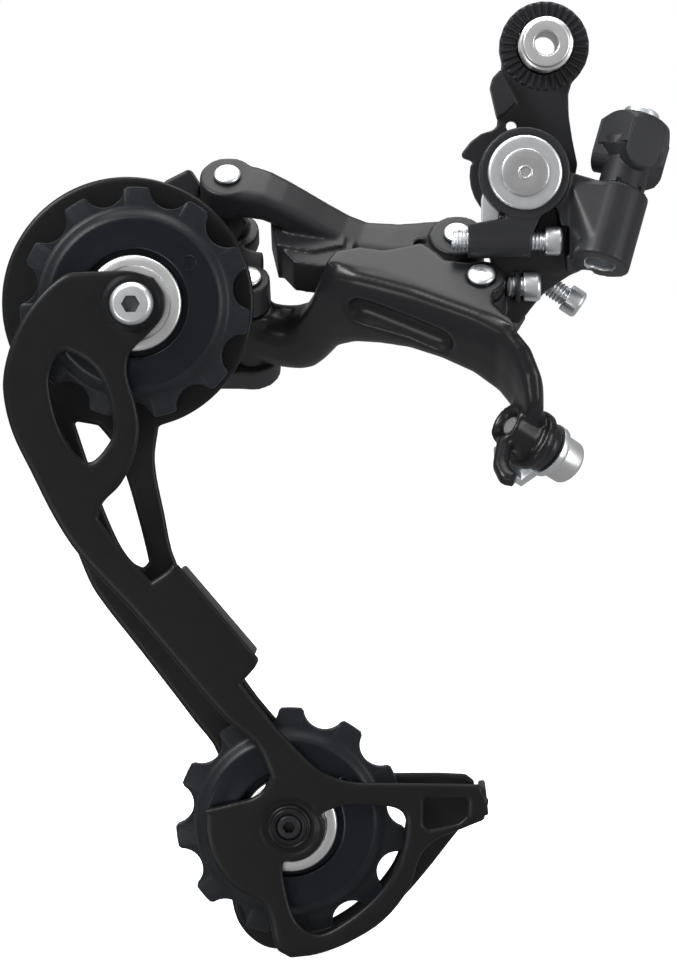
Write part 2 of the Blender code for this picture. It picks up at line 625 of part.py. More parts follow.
def cage_knuckle(black):
    """The knuckle at the linkage's far end: a barrel for the cage's axle and lugs for two pins."""
    cage = facing_wheel(CAGE[0], 0, CAGE[1])
    barrel = rod("barrel", BARREL_RADIUS, -BARREL[1], -BARREL[0], cage, 26)
    outer = rod("outer_boss", 3.5, -19.0, -7.9, link_frame(*KNUCKLE_OUTER), 24)
    flare = rod("flare", 5.6, -19.2, -15.4, link_frame(*KNUCKLE_OUTER), 26)
    crest_outline = [(-78.0, -31.0), (-73.0, -24.9), (-68.4, -22.6), (-66.4, -25.6), (-63.5, -27.5),
                     (-57.0, -33.0), (-60.0, -38.0), (-64.0, -46.0)]
    crest = plate("crest", [crest_outline], 8.4, facing_wheel(0, 16.9, 0))
    ear = rod("ear", 4.2, -18.4, -11.55, link_frame(*KNUCKLE_INNER), 26)
    ear_web = block("ear_web", (-66.0, -31.2, -18.1), (-57.0, -25.6, -12.2), link_frame())
    foot = rod("foot", 5.5, -37.0, -32.0, link_frame(*KNUCKLE_INNER), 26)
    foot_web = block("foot_web", (-73.0, -33.7, -36.8), (-56.6, -20.0, -32.2), link_frame())
    foot_neck = block("foot_neck", (-73.4, -33.2, -36.5), (-62.2, -20.5, -28.6), link_frame())
    cheek_outline = [(-66.0, -30.8), (-57.0, -31.0), (-53.6, -28.0), (-53.9, -17.7), (-60.0, -15.0),
                     (-66.0, -18.0)]
    cheek = plate("cheek", [cheek_outline], 3.1, link_frame(0, 0, -16.4))
    stop_turn = Matrix.Rotation(math.radians(-52), 4, "Z")
    stop = block("stop", (11.0, -2.0, -4.0), (20.5, 2.0, -BARREL[0] - 0.2), cage @ stop_turn)
    pads = [crest, outer, flare, ear_web, cheek, ear]
    body = joined("cage_knuckle", barrel, pads + [foot_web, foot_neck, foot, stop])
    cutters = [rod("spring_room", 10.6, -17.0, 6, cage, 26),
               rod("axle_bore", 3.2 + GAP, -30, 0, cage, 24),
               rod("cap_seat", 10.2, -30, -19.9, cage, 26),
               rod("link_room", 5.9, -7.75, 6, link_frame(*KNUCKLE_OUTER), 26),
               rod("pin", PIN_RADIUS + GAP, -17.5, 0, link_frame(*KNUCKLE_OUTER), 16),
               rod("pin", PIN_RADIUS + GAP, -40, 0, link_frame(*KNUCKLE_INNER), 16)]
    return finish(cut("cage_knuckle", body, cutters), black)


def knuckle_cap(plastic):
    """The cap that closes the back of the knuckle."""
    frame = facing_wheel(CAGE[0], 0, CAGE[1])
    profile = [(0, -20.2), (9.9, -20.2), (9.9, -21.6), (9.0, -22.4), (0, -22.4)]
    return finish(turned("knuckle_cap", profile, frame, 26), plastic)


def cage_axle(steel):
    """The axle riveted to the outer cage plate, which turns in the knuckle."""
    frame = facing_wheel(CAGE[0], 0, CAGE[1])
    profile = [(0, 5.5), (2.6, 5.5), (2.6, 3.4), (3.2, 3.4), (3.2, -19.4), (0, -19.4)]
    return finish(turned("cage_axle", profile, frame, 24), steel)


def cage_spring(steel):
    """The coil in the knuckle that turns the cage back and takes up the chain."""
    frame = facing_wheel(CAGE[0], 0, CAGE[1])
    return finish(wire("cage_spring", coil(8.2, -15.2, 2.0, 5, 12, frame), 0.9, 1), steel)


def rounded(points, steps=3):
    """A smooth closed outline through plane points (centripetal blend of neighbours)."""
    drawn = []
    count = len(points)
    for index in range(count):
        p0, p1, p2, p3 = (points[(index + shift) % count] for shift in (-1, 0, 1, 2))
        for step in range(steps):
            t = step / steps
            drawn.append(tuple(0.5 * (2 * b + (c - a) * t + (2 * a - 5 * b + 4 * c - d) * t * t
                                      + (3 * b - a - 3 * c + d) * t ** 3)
                               for a, b, c, d in zip(p0, p1, p2, p3)))
    return drawn


HOOP_WINDOW = [(-41.8, -144.0), (-37.0, -142.4), (-30.5, -142.4), (-26.6, -143.6), (-26.0, -147.5),
               (-28.0, -154.6),
               (-32.5, -160.6), (-38.5, -165.3), (-43.0, -166.9), (-46.6, -164.2), (-48.4, -158.6),
               (-49.0, -153.4)]
HOOP_WINDOW += arc(TENSION, 6.8, -85, 10, 5)
SMALL_WINDOW = [(-22.5, -140.8), (-15.1, -140.6), (-14.4, -141.6), (-14.6, -144.2), (-16.2, -145.6),
                (-21.4, -146.9), (-22.6, -145.9)]


def inner_plate_outline():
    """The outline of the cage plate on the wheel side, round from the guide pulley's arm."""
    crown = [(-89.6, -43.0), (-86.0, -42.4), (-82.0, -42.3), (-77.0, -42.3), (-72.9, -43.5), (-70.9, -46.8),
             (-71.2, -50.6), (-74.0, -54.1), (-77.2, -57.4), (-77.8, -61.5), (-76.4, -66.5), (-75.7, -71.0),
             (-76.6, -76.6), (-79.2, -82.0), (-82.6, -85.6), (-83.5, -88.4), (-80.2, -93.0),
             (-73.6, -100.3)]
    flange = [(-70.6, -98.2), (-69.4, -96.8), (-68.4, -97.2), (-53.4, -114.8), (-54.2, -116.4),
              (-56.9, -119.4)]
    lower = [(-54.0, -123.1), (-50.4, -127.4), (-45.9, -132.2), (-41.6, -136.0), (-36.6, -137.8),
             (-30.0, -138.1),
             (-12.0, -138.3), (-10.3, -141.4), (-11.2, -145.0), (-15.5, -146.8), (-20.4, -149.0),
             (-23.2, -152.0),
             (-25.2, -158.0), (-30.0, -164.2), (-36.6, -168.5), (-42.6, -170.8), (-47.6, -171.5),
             (-50.3, -169.6), (-51.6, -164.0), (-53.0, -161.3), (-58.2, -158.4), (-61.8, -153.8),
             (-63.5, -148.6),
             (-63.7, -143.3), (-58.6, -142.0), (-53.6, -140.4), (-51.4, -137.0), (-54.0, -131.3),
             (-60.0, -126.0)]
    back = [(-76.8, -106.3), (-87.2, -95.1), (-91.6, -88.4), (-96.0, -79.6), (-99.4, -72.4),
            (-101.0, -65.6),
            (-100.8, -60.4), (-98.6, -53.6), (-94.8, -47.6)]
    return crown + flange + lower + back


def inner_cage_plate(black):
    """The cage plate on the wheel side, with the two folds that bridge to the other plate."""
    front, rear = INNER_PLATE
    window = rounded([(-90.4, -57.6), (-87.0, -58.2), (-83.4, -61.2), (-81.4, -66.0), (-80.5, -71.6),
                      (-81.8, -75.0), (-85.0, -77.9), (-88.4, -75.4), (-91.2, -69.6), (-92.4, -62.4)])
    rings = [inner_plate_outline(), window, rounded(HOOP_WINDOW, 2), SMALL_WINDOW]
    body = plate("inner_cage_plate", rings, rear - front, facing_wheel(0, (front + rear) / 2, 0))
    run = math.atan2(-17.6, 15.0)
    fold_frame = facing_wheel(-60.9, 0, -106.0) @ Matrix.Rotation(run, 4, "Z")
    fold = block("fold", (-10.6, -1.5, -OUTER_PLATE[0] + GAP), (10.6, 0.0, -front - 0.2), fold_frame)
    end_frame = facing_wheel(-11.3, 0, -141.6) @ Matrix.Rotation(math.radians(-84), 4, "Z")
    end = block("end", (-2.6, -0.7, -OUTER_PLATE[0] + GAP), (2.6, 0.7, -front - 0.2), end_frame)
    collar = rod("collar", 5.6, -front - 0.6, -front + 0.3, facing_wheel(GUIDE[0], 0, GUIDE[1]))
    thread = rod("thread", 5.4, -front - 0.6, -front + 0.8, facing_wheel(TENSION[0], 0, TENSION[1]))
    body = joined("inner_cage_plate", body, [fold, end, collar, thread])
    holes = [rod("hole", 2.4 + GAP, 0, 30, facing_wheel(*at_axis(GUIDE)), 16),
             rod("hole", 2.4 + GAP, 0, 30, facing_wheel(*at_axis(TENSION)), 16)]
    return finish(cut("inner_cage_plate", body, holes), black)


def at_axis(axis):
    """The coordinates, at Y = 0, of an axis along Y."""
    return (axis[0], 0, axis[1])


def outer_cage_plate(black):
    """The cage plate on the far side: the disc over the knuckle, two arms and the lower hoop."""
    disc = (-78.7, -48.5)
    outline = arc(disc, 23.9, -76, -76 + 300, 26)
    outline += [(-95.0, -74.0), (-92.0, -86.0), (-87.7, -97.9), (-85.0, -103.6), (-76.5, -114.7),
                (-66.4, -128.0),
                (-61.9, -134.4), (-61.2, -144.0), (-59.6, -160.0), (-58.3, -166.4), (-55.2, -170.4),
                (-51.0, -172.2), (-43.0, -171.0), (-35.4, -168.2), (-27.5, -163.0), (-22.4, -157.4),
                (-16.2, -149.4), (-12.9, -145.4), (-12.9, -139.4), (-14.9, -138.1), (-33.0, -137.9),
                (-41.1, -136.6), (-46.4, -132.2), (-56.3, -120.6), (-69.6, -97.9), (-72.0, -88.0),
                (-73.7, -78.4)]
    window = [(-89.0, -70.8), (-86.4, -78.8), (-83.8, -86.6), (-80.6, -94.0), (-78.1, -97.6),
              (-76.0, -98.8),
              (-74.9, -97.6), (-75.8, -93.6), (-77.1, -88.5), (-79.0, -81.8), (-81.6, -75.2),
              (-84.4, -71.6)]
    rings = [outline, window, rounded(HOOP_WINDOW, 2)]
    front, rear = OUTER_PLATE
    body = plate("outer_cage_plate", rings, rear - front, facing_wheel(0, (front + rear) / 2, 0))
    holes = [rod("hole", 2.4 + GAP, 0, 30, facing_wheel(*at_axis(GUIDE)), 16),
             rod("hole", 2.4 + GAP, 0, 30, facing_wheel(*at_axis(TENSION)), 16),
             rod("hole", 2.6 + GAP, 0, 30, facing_wheel(*at_axis(CAGE)), 16),
             rod("hole", 1.5 + GAP, 0, 30, facing_wheel(*at_axis(STOP_PIN)), 14)]
    return finish(cut("outer_cage_plate", body, holes), black)


STOP_PIN = (-66.6, -58.6)


def cage_stop_pin(steel):
    """The pin in the outer cage plate that meets the knuckle's stop at rest."""
    return finish(rod("cage_stop_pin", 1.5, -1.6, 5.6, facing_wheel(*at_axis(STOP_PIN)), 16), steel)


def pulley_outline(phase):
    """The toothed outline: each valley is a roller's arc on the pitch circle."""
    half_valley = math.degrees(math.acos((TIP_RADIUS ** 2 + PITCH_RADIUS ** 2 - ROLLER_RADIUS ** 2)
                                         / (2 * TIP_RADIUS * PITCH_RADIUS)))
    pitch = 360 / TEETH
    outline = []
    for tooth in range(TEETH):
        middle = phase + tooth * pitch
        tip = pitch / 2 - half_valley - 1.2
        outline += arc((0, 0), TIP_RADIUS, middle - tip, middle + tip, 1)
        valley = math.radians(middle + pitch / 2)
        centre = (PITCH_RADIUS * math.cos(valley), PITCH_RADIUS * math.sin(valley))
        inward = math.degrees(valley) + 180
        outline += arc(centre, ROLLER_RADIUS, inward + 66, inward - 66, 4)
    return outline


def pulley(name, plastic, axis, phase):
    """An eleven-toothed chain pulley with a thick web and a bearing bore."""
    x, z = axis
    teeth = plate(name, [pulley_outline(phase)], 2.2, facing_wheel(x, PULLEY_MID, z))
    frame = facing_wheel(x, PULLEY_MID, z)
    profile = [(0, 3.0), (16.2, 3.0), (17.2, 2.0), (17.2, -2.0), (16.2, -3.0), (0, -3.0)]
    web = turned("web", profile, frame, 30)
    body = joined(name, teeth, [web])
    bore = rod("bore", 3.2 + GAP, -6, 6, frame, 24)
    return finish(cut(name, body, [bore]), plastic)


def bushing(name, bronze, axis):
    """The plain bearing sleeve that a pulley turns on."""
    frame = facing_wheel(axis[0], PULLEY_MID, axis[1])
    return finish(tube(name, 3.2, 2.4 + GAP, -3.1, 3.1, frame, 16), bronze)


def dust_cap(name, steel, axis, side):
    """A shallow pressed cap beside a pulley's hub; side is 1 on the wheel side."""
    frame = facing_wheel(axis[0], PULLEY_MID, axis[1])
    bore = 2.4 + GAP
    profile = [(bore, 4.1), (8.4, 4.1), (9.0, 3.7), (9.0, 3.4), (bore, 3.4)]
    if side < 0:
        profile = [(radius, -height) for radius, height in reversed(profile)]
    return finish(turned(name, profile, frame, 24), steel)


def guide_bolt(steel):
    """The guide pulley's bolt, put in from the wheel side."""
    top = -INNER_PLATE[0] + 0.9
    profile = [(0, top + 2.4), (3.5, top + 2.4), (4.0, top + 1.8), (4.0, top), (2.4, top), (2.4, 4.1),
               (0, 4.1)]
    body = turned("guide_pulley_bolt", profile, facing_wheel(*at_axis(GUIDE)), 26)
    socket = prism("socket", 1.75, top + 0.6, top + 4, facing_wheel(*at_axis(GUIDE)))
    return finish(cut("guide_pulley_bolt", body, [socket]), steel)


def tension_bolt(steel):
    """The tension pulley's bolt, put in from the far side so that its end shows."""
    head = -OUTER_PLATE[1] - GAP
    tip = -INNER_PLATE[0] + 0.5
    profile = [(0, tip), (2.0, tip), (2.4, tip - 0.4), (2.4, head), (4.0, head), (4.0, head - 1.8),
               (3.5, head - 2.4), (0, head - 2.4)]
    body = turned("tension_pulley_bolt", profile, facing_wheel(*at_axis(TENSION)), 26)
    frame = facing_wheel(*at_axis(TENSION))
    sockets = [prism("socket", 1.2, tip - 1.6, tip + 2, frame),
               prism("socket", 1.75, head - 5, head - 0.8, frame)]
    return finish(cut("tension_pulley_bolt", body, sockets), steel)


# ---------------------------------------------------------------- assembly

def hang(axis_name, place, names):
    """Parent pieces to an empty on the axis that they turn about."""
    empty = bpy.data.objects.new(axis_name, None)
    empty.empty_display_size = 0.01
    empty.location = Vector(place) * MM
    bpy.data.collections[PARTS].objects.link(empty)
    for name in names:
        piece = bpy.data.objects[name]
        piece.data.transform(Matrix.Translation(-empty.location))
        piece.parent = empty


def build():
    """Model every piece, then hang the moving ones on their axes."""
    clear_scene()
    black = paint("black_forged", (0.022, 0.023, 0.026), 0.42, 0.35)
    gloss = paint("black_gloss", (0.016, 0.017, 0.020), 0.24, 0.3)
    sheet = paint("black_plate", (0.018, 0.018, 0.019), 0.5, 0.2)
    plastic = paint("black_plastic", (0.030, 0.031, 0.034), 0.55, 0.0)
    steel = paint("zinc_steel", (0.72, 0.73, 0.75), 0.28, 1.0)
    bright = paint("bright_steel", (0.62, 0.61, 0.59), 0.33, 1.0)
    spring = paint("spring_steel", (0.35, 0.35, 0.36), 0.35, 1.0)
    bronze = paint("bearing_bronze", (0.55, 0.40, 0.22), 0.4, 1.0)

    hanger_link(black)
    mounting_bolt(bright)
    pivot_axle(bright)
    pivot_washer(steel)
    pivot_bushing(bronze)
    stopper_plate(steel)
    bracket_body(black)
    screw("limit_screw_high", steel, LIMIT_HIGH, LIMIT_HIGH_LENGTH)
    screw("limit_screw_low", steel, LIMIT_LOW, LIMIT_LOW_LENGTH)
    screw("b_tension_screw", steel, TENSION_SCREW, TENSION_SCREW_LENGTH)
    adjuster_stud(steel)
    adjuster_knob(plastic)
    adjuster_ferrule(steel)
    inner_link(gloss)
    outer_link(black)
    link_pin("bracket_inner_pin", steel, BRACKET_INNER, 0.0, -14.0)
    link_pin("bracket_outer_pin", steel, BRACKET_OUTER, -6.0, -21.0)
    link_pin("knuckle_inner_pin", steel, KNUCKLE_INNER, -10.35, -36.0)
    link_pin("knuckle_outer_pin", steel, KNUCKLE_OUTER, 0.0, -17.0)
    clamp_bolt(bright)
    clamp_spacer(black)
    clamp_plate(steel)
    return_spring(spring)
    cage_knuckle(black)
    knuckle_cap(plastic)
    cage_axle(steel)
    cage_spring(spring)
    inner_cage_plate(sheet)
    outer_cage_plate(sheet)
    cage_stop_pin(steel)
    pulley("guide_pulley", plastic, GUIDE, -9.5)
    pulley("tension_pulley", plastic, TENSION, 89.5)
    for name, axis in (("guide", GUIDE), ("tension", TENSION)):
        bushing(name + "_bushing", bronze, axis)
        dust_cap(name + "_cap_inner", bright, axis, 1)
        dust_cap(name + "_cap_outer", bright, axis, -1)
    guide_bolt(steel)
    tension_bolt(steel)

    hang("pivot_axis", at_axis(PIVOT), ["bracket_body", "pivot_bushing", "adjuster_stud", "return_spring",
                                        "bracket_inner_pin", "bracket_outer_pin"])
    hang("hanger_axis", (0, 0, 0), ["mounting_bolt"])
    hang("limit_high_axis", LIMIT_HIGH[0], ["limit_screw_high"])
    hang("limit_low_axis", LIMIT_LOW[0], ["limit_screw_low"])
    hang("b_tension_axis", TENSION_SCREW[0], ["b_tension_screw"])
    hang("adjuster_axis", ADJUSTER[0], ["adjuster_knob", "adjuster_ferrule"])
    hang("inner_link_axis", link_point(*BRACKET_INNER, 0),
         ["inner_link", "cable_clamp_plate", "cable_clamp_spacer"])
    hang("clamp_axis", clamp_frame().translation / MM, ["cable_clamp_bolt"])
    hang("outer_link_axis", link_point(*BRACKET_OUTER, 0), ["outer_link"])
    hang("knuckle_axis", link_point(*KNUCKLE_INNER, 0), ["cage_knuckle", "knuckle_cap", "cage_spring",
                                                         "knuckle_inner_pin", "knuckle_outer_pin"])
    hang("cage_axis", at_axis(CAGE), ["cage_axle", "inner_cage_plate", "outer_cage_plate", "cage_stop_pin",
                                      "guide_bushing", "tension_bushing", "guide_pulley_bolt",
                                      "tension_pulley_bolt", "guide_cap_inner", "guide_cap_outer",
                                      "tension_cap_inner", "tension_cap_outer"])
    hang("guide_axis", at_axis(GUIDE), ["guide_pulley"])
    hang("tension_axis", at_axis(TENSION), ["tension_pulley"])


build()
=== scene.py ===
"""Looks of the long-cage rear derailleur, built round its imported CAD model.

The frame is the CAD model: the wheel side faces -Y, the bicycle's rear faces +X and the origin is
on the mounting bolt's axis. Sizes below are in millimetres; MM turns them into metres.
"""
import math

import bmesh
import bpy
from mathutils import Matrix, Vector
from mathutils.kdtree import KDTree


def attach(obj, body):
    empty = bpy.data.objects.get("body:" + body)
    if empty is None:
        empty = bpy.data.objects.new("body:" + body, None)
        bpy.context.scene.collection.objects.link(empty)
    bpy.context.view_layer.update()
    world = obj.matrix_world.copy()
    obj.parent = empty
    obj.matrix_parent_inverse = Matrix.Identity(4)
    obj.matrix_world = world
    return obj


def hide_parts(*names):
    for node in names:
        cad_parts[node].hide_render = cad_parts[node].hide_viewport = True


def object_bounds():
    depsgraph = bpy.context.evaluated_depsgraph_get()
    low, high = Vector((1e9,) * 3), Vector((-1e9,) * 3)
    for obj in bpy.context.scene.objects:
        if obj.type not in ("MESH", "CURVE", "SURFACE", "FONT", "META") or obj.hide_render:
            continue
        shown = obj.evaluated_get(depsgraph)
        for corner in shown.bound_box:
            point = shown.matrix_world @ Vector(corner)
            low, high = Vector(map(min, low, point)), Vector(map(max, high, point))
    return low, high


MM = 0.001
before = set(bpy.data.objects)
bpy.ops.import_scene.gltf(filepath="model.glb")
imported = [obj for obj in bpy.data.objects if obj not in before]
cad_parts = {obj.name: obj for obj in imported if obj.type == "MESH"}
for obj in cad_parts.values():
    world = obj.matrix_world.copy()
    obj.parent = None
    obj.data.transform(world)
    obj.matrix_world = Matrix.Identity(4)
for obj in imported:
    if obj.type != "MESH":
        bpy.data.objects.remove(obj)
CAD_BOX = [list(corner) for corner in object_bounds()]

# ---------------------------------------------------------------- places taken over from the CAD

HANGER = (0.0, 0.0)
PIVOT = (-4.0, -24.1)
CAGE = (-74.5, -41.2)
GUIDE = (-76.8, -48.3)
TENSION = (-47.8, -146.4)
LINK_TILT = math.radians(44)
HEAD_PLANE = -22.0
BRACKET_INNER = (-12.0, -38.4)
BRACKET_OUTER = (-16.3, -20.8)
KNUCKLE_INNER = (-56.3, -28.4)
KNUCKLE_OUTER = (-60.6, -10.8)
LIMIT_HIGH = ((-17.5, -9.0, -36.7), (1.0, 0.0, 0.0), 17.4)
LIMIT_LOW = ((-7.0, -7.5, -45.3), (1.0, 0.0, 0.0), 2.9)
TENSION_SCREW = ((-6.2, -1.1, -40.4), (0.839, 0.0, -0.545), 12.5)
ADJUSTER = ((14.2, -6.8, -26.8), (0.268, 0.358, 0.894))
CLAMP_RING = (-7.6, -60.3, -17.4)
CLAMP_AXIS = (0.733, 0.0, -0.680)
CLAMP_BOSS = 7.2
PULLEY_MID = -10.0
INNER_PLATE = (-16.0, -14.4)   # the cage plates' front and back along Y
OUTER_PLATE = (-5.6, -4.0)
PLATE_EDGE = 0.3
CABLE_BORE = 2.75
SCREW_HEAD = (2.7, 3.3)        # radius and height of the small screws' heads
BOLT_RADIUS = 5.0
AXLE_RADIUS = 3.4


def facing_wheel(x=0.0, y=0.0, z=0.0):
    """A frame whose own z points at the wheel (-Y), its own x along X and its y along Z."""
    return Matrix.Translation(Vector((x, y, z)) * MM) @ Matrix.Rotation(math.pi / 2, 4, "X")


def on_axis(axis, y=0.0):
    """The wheel-facing frame on an axis along Y."""
    return facing_wheel(axis[0], y, axis[1])


def link_frame(x=0.0, u=0.0, h=0.0):
    """The frame of the tilted linkage, moved to the link point (x, u, h)."""
    tilt = Matrix.Rotation(LINK_TILT, 4, "X")
    return tilt @ Matrix.Translation(Vector((x, u, HEAD_PLANE + h)) * MM)


def along(point, direction):
    """A frame at a world point whose own z runs along a direction."""
    turn = Vector(direction).to_track_quat("Z", "Y").to_matrix().to_4x4()
    return Matrix.Translation(Vector(point) * MM) @ turn


def clamp_frame(offset=0.0):
    """A frame on the cable clamp's axis, measured from its near ring."""
    turn = Vector(CLAMP_AXIS).to_track_quat("Z", "Y").to_matrix().to_4x4()
    return link_frame(*CLAMP_RING) @ turn @ Matrix.Translation((0, 0, offset * MM))


# ---------------------------------------------------------------- materials

def surface(name, colour, roughness, metallic=0.0, grain=3500.0, grain_depth=0.02, mottle=260.0,
            colour_spread=0.15, rough_spread=0.08, coat=0.0, coat_rough=0.2, specular=0.5,
            brushed=None):
    """A procedural finish: mottled colour and roughness, and a fine grain in the bump.

    grain and mottle are in repeats a metre and grain_depth is in millimetres. brushed gives the
    stretch of the grain along X, Y and Z.
    """
    made = bpy.data.materials.new(name)
    made.use_nodes = True
    tree = made.node_tree
    shader = tree.nodes["Principled BSDF"]
    shader.inputs["Metallic"].default_value = metallic
    shader.inputs["Specular IOR Level"].default_value = specular
    shader.inputs["Coat Weight"].default_value = coat
    shader.inputs["Coat Roughness"].default_value = coat_rough

    def node(kind, **values):
        item = tree.nodes.new(kind)
        for key, value in values.items():
            item.inputs[key].default_value = value
        return item

    place = tree.nodes.new("ShaderNodeTexCoord")
    patches = node("ShaderNodeTexNoise", Scale=mottle, Detail=4.0, Roughness=0.6)
    tree.links.new(place.outputs["Object"], patches.inputs["Vector"])
    shade = tree.nodes.new("ShaderNodeMix")
    shade.data_type = "RGBA"
    low = [max(0.0, c * (1 - colour_spread)) for c in colour]
    high = [min(1.0, c * (1 + colour_spread)) for c in colour]
    shade.inputs[6].default_value = (*low, 1.0)
    shade.inputs[7].default_value = (*high, 1.0)
    tree.links.new(patches.outputs["Fac"], shade.inputs[0])
    tree.links.new(shade.outputs[2], shader.inputs["Base Color"])

    grains = node("ShaderNodeTexNoise", Scale=grain, Detail=2.0, Roughness=0.5)
    if brushed:
        stretch = tree.nodes.new("ShaderNodeMapping")
        stretch.inputs["Scale"].default_value = brushed
        tree.links.new(place.outputs["Object"], stretch.inputs["Vector"])
        tree.links.new(stretch.outputs["Vector"], grains.inputs["Vector"])
    else:
        tree.links.new(place.outputs["Object"], grains.inputs["Vector"])
    mixed = tree.nodes.new("ShaderNodeMath")
    mixed.operation = "ADD"
    tree.links.new(patches.outputs["Fac"], mixed.inputs[0])
    tree.links.new(grains.outputs["Fac"], mixed.inputs[1])
    spread = node("ShaderNodeMapRange")
    spread.inputs["From Min"].default_value = 0.6
    spread.inputs["From Max"].default_value = 1.4
    spread.inputs["To Min"].default_value = roughness - rough_spread
    spread.inputs["To Max"].default_value = roughness + rough_spread
    tree.links.new(mixed.outputs[0], spread.inputs["Value"])
    tree.links.new(spread.outputs["Result"], shader.inputs["Roughness"])

    bump = node("ShaderNodeBump", Strength=1.0, Distance=grain_depth * MM)
    tree.links.new(grains.outputs["Fac"], bump.inputs["Height"])
    tree.links.new(bump.outputs["Normal"], shader.inputs["Normal"])
    return made


FORGED = surface("satin_forging", (0.0125, 0.0128, 0.0142), 0.42, grain=2600, grain_depth=0.004,
                 rough_spread=0.05, specular=0.30)
GLOSS = surface("gloss_forging", (0.0060, 0.0062, 0.0070), 0.31, grain=2200, grain_depth=0.001,
                rough_spread=0.02, specular=0.30)
PLATE = surface("satin_plate", (0.0050, 0.0050, 0.0055), 0.38, grain=3000, grain_depth=0.001,
                rough_spread=0.03, specular=0.20)
MOULDED = surface("moulded_plastic", (0.014, 0.0145, 0.0160), 0.48, grain=4200, grain_depth=0.006,
                  specular=0.3)
PULLEY = surface("pulley_plastic", (0.0040, 0.0050, 0.0075), 0.30, grain=2400, grain_depth=0.002,
                 rough_spread=0.04, specular=0.20)
RIM = surface("pulley_rim", (0.0070, 0.0078, 0.0100), 0.42, grain=1500, grain_depth=0.030,
              rough_spread=0.06, specular=0.22)
ZINC = surface("zinc_plating", (0.84, 0.86, 0.88), 0.38, 1.0, grain=3200, grain_depth=0.001,
               colour_spread=0.06, rough_spread=0.04, mottle=500)
SATIN_STEEL = surface("satin_steel", (0.58, 0.58, 0.58), 0.42, 1.0, grain=2600, grain_depth=0.002,
                      colour_spread=0.05, rough_spread=0.04, mottle=300)
BRIGHT_STEEL = surface("bright_steel", (0.80, 0.81, 0.80), 0.40, 1.0, grain=2600,
                       grain_depth=0.001, colour_spread=0.04, rough_spread=0.04)
BLACK_STEEL = surface("black_oxide", (0.020, 0.020, 0.022), 0.36, 0.5, grain=2800,
                      grain_depth=0.003, specular=0.3)
SPRING_STEEL = surface("spring_wire", (0.30, 0.30, 0.31), 0.38, 1.0, grain=2400,
                       grain_depth=0.003)
BRONZE = surface("sintered_bronze", (0.52, 0.37, 0.20), 0.45, 1.0, grain=2400, grain_depth=0.02)
# painted shade: a dull grey for the inside of hex sockets, standing in for the shade that falls in
# them
PAINTED_SOCKET_SHADE = surface("painted_socket_shade", (0.16, 0.16, 0.165), 0.5, 0.8, grain=2400, grain_depth=0.002)


# ---------------------------------------------------------------- mesh tools

def new_object(name, mesh, material, matrix=None, angle=35):
    """Put a mesh in the scene as a smooth-shaded piece with sharp edges past an angle."""
    if matrix is not None:
        mesh.transform(matrix)
    mesh.materials.clear()
    mesh.materials.append(material)
    for face in mesh.polygons:
        face.use_smooth = True
    mesh.set_sharp_from_angle(angle=math.radians(angle))
    made = bpy.data.objects.new(name, mesh)
    bpy.context.scene.collection.objects.link(made)
    return made


def node_mesh(node):
    """A welded copy of a CAD node's mesh."""
    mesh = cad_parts[node].data.copy()
    weld = bmesh.new()
    weld.from_mesh(mesh)
    bmesh.ops.remove_doubles(weld, verts=weld.verts, dist=0.005 * MM)
    weld.to_mesh(mesh)
    weld.free()
    return mesh


def merged(meshes):
    """One mesh made of several."""
    whole = bmesh.new()
    for mesh in meshes:
        whole.from_mesh(mesh)
    result = bpy.data.meshes.new("merged")
    whole.to_mesh(result)
    whole.free()
    return result


def evaluated(name, mesh, modifiers):
    """The mesh after a list of (kind, settings) modifiers."""
    carrier = bpy.data.objects.new(name, mesh)
    bpy.context.scene.collection.objects.link(carrier)
    for kind, settings in modifiers:
        step = carrier.modifiers.new(kind, kind)
        for key, value in settings.items():
            setattr(step, key, value)
    bpy.context.view_layer.update()
    graph = bpy.context.evaluated_depsgraph_get()
    result = bpy.data.meshes.new_from_object(carrier.evaluated_get(graph))
    bpy.data.objects.remove(carrier, do_unlink=True)
    return result


def cast(name, meshes, material, voxel=0.32, smoothing=10, keep=0.5):
    """Fuse overlapping solids into one soft-edged forging or moulding."""
    source = merged(meshes)
    steps = [("REMESH", {"mode": "VOXEL", "voxel_size": voxel * MM}),
             ("SMOOTH", {"factor": 0.5, "iterations": smoothing})]
    if keep < 1:
        steps.append(("DECIMATE", {"ratio": keep}))
    return new_object(name, evaluated(name, source, steps), material, angle=60)


def machined(name, mesh, material, width=0.25, segments=2, angle=32):
    """A piece with its sharp edges broken, as a pressed or machined part has."""
    steps = [("BEVEL", {"width": width * MM, "segments": segments, "limit_method": "ANGLE",
                        "angle_limit": math.radians(angle), "miter_outer": "MITER_ARC",
                        "use_clamp_overlap": True, "harden_normals": False}),
             ("WEIGHTED_NORMAL", {"keep_sharp": True, "weight": 60})]
    return new_object(name, evaluated(name, mesh, steps), material, angle=50)


def filleted(corners, steps=3):
    """A (radius, height) profile from corners (radius, height, fillet), rounded at each."""
    profile = []
    last = len(corners) - 1
    for index, corner in enumerate(corners):
        place = Vector(corner[:2])
        fillet = corner[2] if len(corner) > 2 else 0
        if not fillet or index in (0, last):
            profile.append(tuple(place))
            continue
        back = Vector(corners[index - 1][:2]) - place
        ahead = Vector(corners[index + 1][:2]) - place
        reach = min(fillet, back.length * 0.5, ahead.length * 0.5)
        start = place + back.normalized() * reach
        end = place + ahead.normalized() * reach
        for step in range(steps + 1):
            t = step / steps
            profile.append(tuple(start * (1 - t) ** 2 + place * 2 * t * (1 - t) + end * t * t))
    return profile


